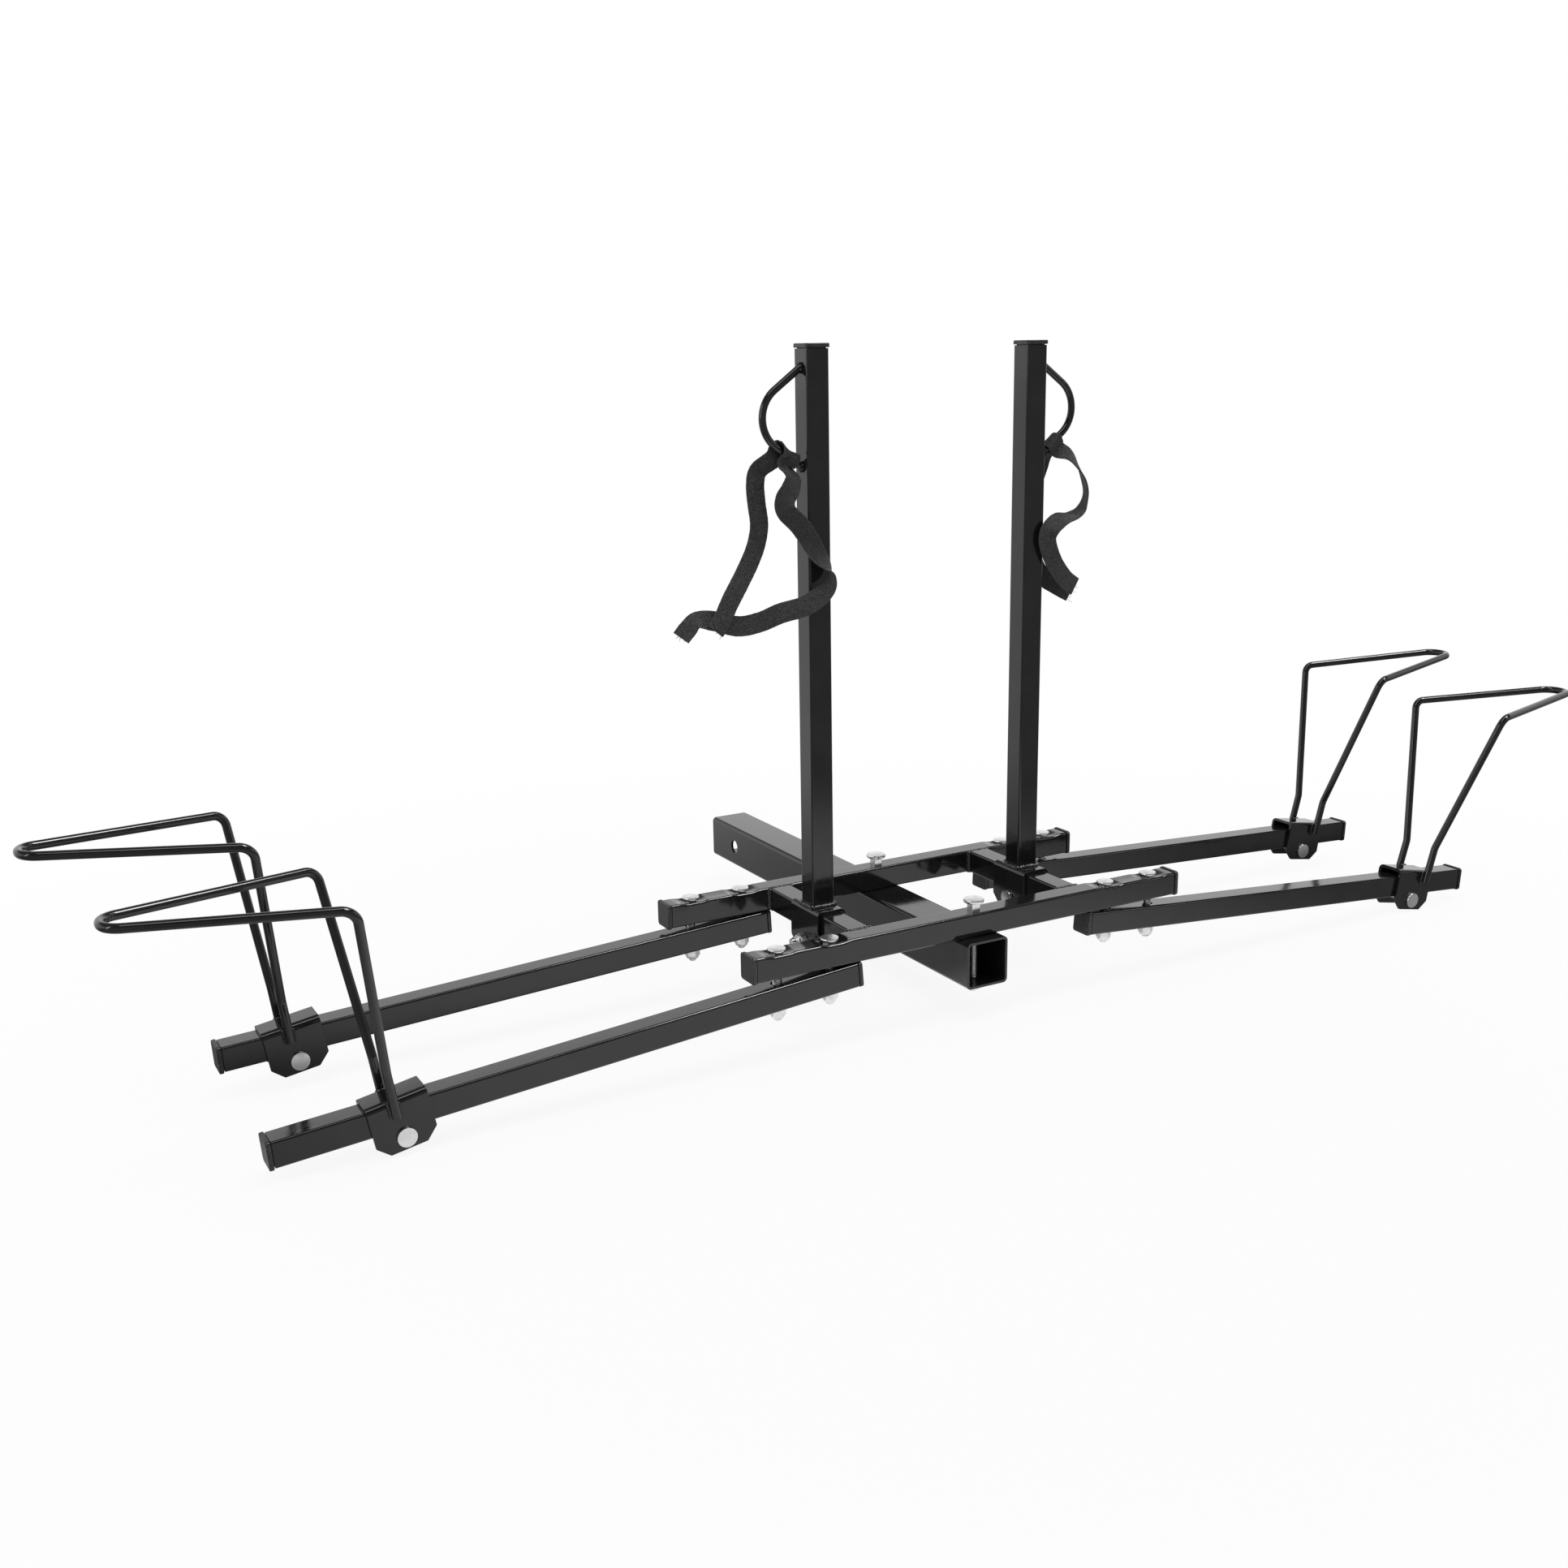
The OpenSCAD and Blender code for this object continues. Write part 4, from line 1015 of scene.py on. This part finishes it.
# Each row is a place, from the mast's middle line at the ring's height, and the way
# across the strap.
left_back_run = [
    (118, -12, -199, -0.82, 0, -0.57), (110, -11, -189, -0.84, 0, -0.54),
    (99, -8, -172, -0.88, 0, -0.47), (84, -3, -153, -0.9, 0, -0.42),
    (70, 2, -134, -0.93, 0, -0.35), (61, 6, -118, -0.98, 0, -0.2),
    (57, 8, -101, -1, 0, 0), (59, 9, -80, -1, 0, 0.05), (60, 9, -62, -1, 0, 0),
    (56, 9, -49, -0.93, 0, -0.3)]
left_front_run = [
    (28, -10, -57, -0.95, 0.2, -0.25), (33, -14, -67, -0.93, -0.1, -0.35),
    (40, -15, -77, -0.9, -0.35, -0.1), (40, -17, -88, -0.85, -0.4, 0.3),
    (28, -20, -101, -0.75, -0.28, 0.5), (19, -22, -114, -0.74, -0.2, 0.52),
    (10, -24, -129, -0.7, 0.1, 0.52), (1, -26, -141, -0.5, 0.6, 0.5),
    (-3, -29, -151, -0.3, 0.9, 0.2),
    (3, -32, -164, 0, 0.8, 0.5), (15, -30, -174, 0.2, 0.5, 0.8),
    (29, -27, -181, 0.2, 0.3, 0.93), (51, -22, -186, 0.2, 0.2, 0.95),
    (70, -14, -194, 0.25, 0.15, 0.95), (91, -8, -197, 0, 0.1, 1),
    (116, -5, -190, -0.1, 0.3, 0.95), (134, -3, -188, -0.1, 0.75, 0.65),
    (143, -2, -196, 0.4, 0.75, 0.45), (150, -1, -204, 0.4, 0.75, 0.4)]
right_back_run = [
    (57, -4, -198, -0.3, 0, -0.95), (44, 2, -190, -0.5, 0.2, -0.85),
    (31, 10, -180, -0.7, 0.3, -0.6), (23, 16, -166, -0.8, 0.5, -0.4),
    (19, 20, -140, -0.5, 0.85, 0), (19, 20, -110, -0.5, 0.85, 0),
    (21, 18, -80, -0.6, 0.8, 0), (25, 13, -60, -0.8, 0.4, -0.2)]
right_front_run = [
    (47, -9, -48, -0.65, -0.55, -0.45),
    (58, -8, -58, -0.55, -0.75, -0.3), (70, -5, -74, -0.4, -0.9, -0.1),
    (76, -3, -92, -0.4, -0.9, 0), (69, -4, -106, -0.3, -0.95, -0.1),
    (54, -9, -113, 0.1, -0.95, -0.2), (34, -15.5, -115, 0.35, -0.8, -0.5),
    (17, -20.5, -123, 0.7, -0.45, -0.5), (12, -20, -134, 0.95, -0.25, 0),
    (16, -19, -148, 0.92, -0.2, 0.3), (26, -17, -164, 0.85, -0.1, 0.5),
    (41, -15, -180, 0.65, 0, 0.75), (56, -13, -190, 0.3, 0, 0.95)]


def fold_row(out, round_rod, straight=0):
    """One row of the fold, at a turn round the ring's lower leg. A straight length
    carries it on past the fold's ends."""
    seat = ring_point(out, -1) - Vector((mast_x, middle_y, ring_z))
    turn = math.radians(round_rod)
    inward = Vector((-math.sin(ring_slope), 0, math.cos(ring_slope)))
    behind = Vector((0, 1, 0))
    off_rod = inward * math.cos(turn) - behind * math.sin(turn)
    onward = -inward * math.sin(turn) - behind * math.cos(turn)
    spot = seat + strap_lift * off_rod + straight * onward
    return (*spot, -math.cos(ring_slope), 0, -math.sin(ring_slope))


def over_the_ring(back_out, front_out):
    """Rows of the fold over the ring's lower leg, from behind it to the front."""
    turns = (-100, -65, -30, 0, 30, 65, 100)
    rows = [fold_row(back_out, turns[0], -strap_straight)]
    for turn in turns:
        share = (turn - turns[0]) / (turns[-1] - turns[0])
        rows.append(fold_row(back_out + (front_out - back_out) * share, turn))
    rows.append(fold_row(front_out, turns[-1], strap_straight))
    return rows


def smooth_rows(rows, steps=8):
    """More rows on an even curve through the given ones."""
    smooth = []
    rows = [Vector(row) for row in rows]
    last = len(rows) - 1
    for i in range(last):
        a, b, c, d = (rows[max(i - 1, 0)], rows[i], rows[i + 1], rows[min(i + 2, last)])
        for k in range(steps):
            t = k / steps
            smooth.append(0.5 * (2 * b + (c - a) * t
                                 + (2 * a - 5 * b + 4 * c - d) * t * t
                                 + (3 * b - a - 3 * c + d) * t ** 3))
    return smooth + [rows[last]]


def strap_band(rows):
    """A flat woven band along the rows. Each row's outline has a rounded selvage, and
    it is drawn on from row to row. It comes with its length."""
    half_outline = [(-1, 0), (-0.985, 0.72), (-0.93, 1), (-0.6, 0.94), (-0.2, 0.9),
                    (0.2, 0.9), (0.6, 0.94), (0.93, 1), (0.985, 0.72), (1, 0)]
    outline = half_outline + [(u, -v) for u, v in half_outline[-2:0:-1]]
    chance = random.Random(7)
    rows = smooth_rows(rows)
    spots = [Vector(row[:3]) for row in rows]
    last = len(rows) - 1
    shape = bmesh.new()
    across_of, along_of, face_of = [shape.verts.layers.float.new(name)
                                    for name in ("across", "along", "face")]
    verts = [shape.verts.new() for _ in outline]
    first = ring = [shape.edges.new(pair) for pair in zip(verts, verts[1:] + verts[:1])]
    travel = 0
    for i, row in enumerate(rows):
        along = (spots[min(i + 1, last)] - spots[max(i - 1, 0)]).normalized()
        face = along.cross(Vector(row[3:])).normalized()
        across = face.cross(along)
        if i:
            travel += (spots[i] - spots[i - 1]).length
            made = bmesh.ops.extrude_edge_only(shape, edges=ring)["geom"]
            ring = only(bmesh.types.BMEdge, made)
            fresh = {edge.other_vert(vert): vert
                     for vert in only(bmesh.types.BMVert, made)
                     for edge in vert.link_edges}
            verts = [fresh[vert] for vert in verts]
        fray = chance.uniform(-0.12, 0.12)
        for vert, (u, v) in zip(verts, outline):
            vert.co = (spots[i] + across * u * (strap_width / 2 + fray * abs(u))
                       + face * v * strap_thickness / 2)
            vert[across_of] = u
            vert[along_of] = travel
            vert[face_of] = 1 if v > 0.1 else (-1 if v < -0.1 else 0)
    for rim in (first, ring):
        bmesh.ops.contextual_create(shape, geom=rim)
    face_outward(shape)
    return shape, travel


def strap_webbing():
    """Black woven nylon with a napped loop face and a bristly hook face: deep grey with
    pale fibres that catch the light, plain weave lines and a tight pale selvage."""
    # The nap is drawn two to three times coarser than a real one. The weave is in
    # millimetres along the strap, as real.
    nap_size = 0.0016
    blotch_size = 1 / 130
    weave_size = 1.1
    finish, add, place = new_finish("hook_and_loop_nylon")
    across, along, face = [
        add("Attribute", attribute_name=name).outputs["Fac"]
        for name in ("across", "along", "face")]
    nap = add("TexNoise", (place, 1 / nap_size, 4, 0.7))
    blotch = add("TexNoise", (place, 1 / blotch_size, 3))
    front = add("MapRange", (face, -0.3, 0.3, 0, 1))
    selvage = add("Math", (across,), operation="ABSOLUTE")
    border = add("MapRange", (selvage, 0.86, 0.92, 0, 1))
    row_turns = add("Math", (along, math.tau / weave_size), operation="MULTIPLY")
    weave = add("Math", (row_turns,), operation="SINE")
    heather = add("MapRange", (nap, 0.38, 0.66, 0, 1))
    loops = add("Mix", (heather, "#161617", "#4a4a4c"), data_type="RGBA")
    hooks = add("Mix", (heather, "#131314", "#3a3a3c"), data_type="RGBA")
    sides = add("Mix", (front, hooks, loops), data_type="RGBA")
    edged = add("Mix", (border, sides, "#38383a"), data_type="RGBA")
    worn = add("MapRange", (blotch, 0, 1, 0, 0.5))
    patchy = add("Mix", (worn, edged, "#1c1c1d"), data_type="RGBA")
    height = add("Math", (weave, 0.18, nap), operation="MULTIPLY_ADD")
    bump = add("Bump", {"Height": height, "Strength": 0.35, "Distance": 0.0006})
    shader = add("BsdfPrincipled", {
        "Base Color": patchy, "Normal": bump, "Roughness": 0.85, "Sheen Weight": 0.08,
        "Sheen Roughness": 0.5})
    add("OutputMaterial", {"Surface": shader})
    return finish


webbing = strap_webbing()
thread_width = 0.35
thread_root = 1.5
threads_at_end = 6


def loose_threads(rows, seed):
    """Nylon threads that have come loose where the strap was cut."""
    chance = random.Random(seed)
    spots = [Vector(row[:3]) for row in rows[:2]]
    out = (spots[0] - spots[1]).normalized()
    across = Vector(rows[0][3:]).normalized()
    threads = []
    for _ in range(threads_at_end):
        aside = chance.uniform(1 - strap_width / 2, strap_width / 2 - 1)
        root = spots[0] - out * thread_root + across * aside
        bend = Vector([chance.uniform(-1, 1) for _ in range(3)])
        middle = root + out * chance.uniform(2, 3) + bend
        tip = middle + out * chance.uniform(0.5, 2) + bend * chance.uniform(0.5, 1.5)
        threads.append(bent_rod([root, middle, tip], [1], thread_width, sides=6,
                                sweep=20))
    return gathered(threads)


for side, back_run, front_run, fold in (
        (-1, left_back_run, left_front_run, (24, 14)),
        (1, right_back_run, right_front_run, (14, 18))):
    name, body = hand[side], f"mast_clamp_{hand[side]}"
    rows = back_run + over_the_ring(*fold) + front_run
    place = on_side(side) @ moved(mast_x, middle_y, ring_z)
    band, strap_length = strap_band(rows)
    strap = rack_piece(f"{name}_strap_band", band, place, [webbing], body, "webbing",
                       f"strap_{name}")
    ends = gathered([loose_threads(rows, 3), loose_threads(rows[::-1], 5)])
    frayed = rack_piece(f"{name}_strap_loose_threads", ends, place, [webbing], body,
                        "webbing")


# Floor, light and world
# A pale studio floor, wide soft lamps, and white walls that the gloss paint mirrors. In
# reflections the floor glows with a painted reflection: brightest in front, with painted
# shade under the rack, and paler behind. The walls are dim behind the camera and high up,
# and one long lamp is overhead.
floor_half = 30
floor_shape = bmesh.new()
bmesh.ops.create_grid(floor_shape, x_segments=1, y_segments=1, size=floor_half,
                      matrix=Matrix.Translation((0, 0, cad_box[0].z)))
studio_floor = add_object("studio_floor", floor_shape)

smooth = {"interpolation_type": "SMOOTHSTEP"}
floor_finish, add, place = new_finish("pale_floor")
path = add("LightPath")
from_middle = add("Mapping", {"Vector": place, "Location": (0.15, 0.68, 0),
                              "Scale": (1, 1, 0)})
distance = add("VectorMath", (from_middle,), operation="LENGTH")
fade = add("MapRange", (distance, 0.5, 1.5, 0.9, 1))
# Painted reflection of the floor for glossy rays: a glow that is bright in front of the
# rack, has painted shade under and behind the front bar, and is paler again farther back.
mirrored = add("MapRange", (distance, 0.3, 0.85, 1.12, 0.32), **smooth)
y = add("SeparateXYZ", (place,)).outputs["Y"]
painted_shade_under_bar = add("MapRange", (y, -0.46, -0.36, 1, 0.4), **smooth)
farther = add("MapRange", (y, -0.4, 0.6, 0, 0.8), **smooth)
painted_reflection = add("Math", (mirrored, painted_shade_under_bar, farther), operation="MULTIPLY_ADD")
paper = add("BsdfDiffuse", {"Color": "#f2f2f2"})
white = add("Emission", {"Color": (1, 1, 1, 1)})
painted_reflection_glow = add("Emission", {"Color": (1, 1, 1, 1), "Strength": painted_reflection})
seen = add("Math", (path.outputs["Is Camera Ray"], fade), operation="MULTIPLY")
plain = add("MixShader", (seen, paper, white))
mixed = add("MixShader", (path.outputs["Is Glossy Ray"], plain, painted_reflection_glow))
add("OutputMaterial", {"Surface": mixed})
studio_floor.data.materials.append(floor_finish)

world = bpy.data.worlds.new("white_studio")
scene.world = world
world.use_nodes = True
world.node_tree.nodes.clear()
add = partial(add_node, world.node_tree)
path = add("LightPath")
way = add("SeparateXYZ", (add("TexCoord").outputs["Generated"],))
x, y, z = [way.outputs[axis] for axis in "XYZ"]
slant = add("Math", (y, z), operation="DIVIDE")


def brightness(changes):
    """The product of smooth changes, each given as a value, the two levels of it
    between which the change lies, and the brightness at each of the two."""
    product = 1
    for change in changes:
        level = add("MapRange", change, **smooth)
        product = add("Math", (product, level), operation="MULTIPLY")
    return product


walls = brightness([(y, -0.6, 0.15, 0.3, 1.15), (z, 0.45, 0.5, 1, 0.35),
                    (z, 0.56, 0.62, 1, 0.5)])
long_lamp = brightness([(slant, -0.62, -0.54, 0, 18), (slant, -0.1, -0.02, 1, 0),
                        (z, 0.55, 0.65, 0, 1), (x, 0.26, 0.32, 0, 1),
                        (x, 0.48, 0.53, 1, 0)])
room = add("Math", (walls, long_lamp), operation="ADD")
lit = add("Background", {"Color": (1, 1, 1, 1), "Strength": 0.5})
mirror = add("Background", {"Color": (1, 1, 1, 1), "Strength": room})
surround = add("Background", {"Color": (1, 1, 1, 1)})
straight = add("Math", (path.outputs["Is Camera Ray"],
                        path.outputs["Is Transmission Ray"]), operation="MAXIMUM")
dressed = add("MixShader", (path.outputs["Is Glossy Ray"], lit, mirror))
blend = add("MixShader", (straight, dressed, surround))
add("OutputWorld", {"Surface": blend})


def soft_lamp(name, place, target, width, height, radiance):
    """A softbox of even brightness that faces a point."""
    lamp = bpy.data.lights.new(name, "AREA")
    lamp.shape = "RECTANGLE"
    lamp.size = width
    lamp.size_y = height
    lamp.energy = radiance * math.pi * width * height
    holder = bpy.data.objects.new(name, lamp)
    holder.matrix_world = aimed(place, Vector(target) - Vector(place), "-Z", "Y")
    scene.collection.objects.link(holder)


soft_lamp("overhead_softbox", (0.1, -0.75, 2.6), (0, -0.4, 0.1), 3.2, 0.7, 4)
soft_lamp("left_softbox", (-2.8, -0.9, 1.3), (0, -0.4, 0.2), 0.25, 1.6, 7)
soft_lamp("right_softbox", (2.6, -2.6, 1.7), (0, -0.4, 0.1), 0.3, 1.4, 4)

scene.view_settings.view_transform = "Standard"
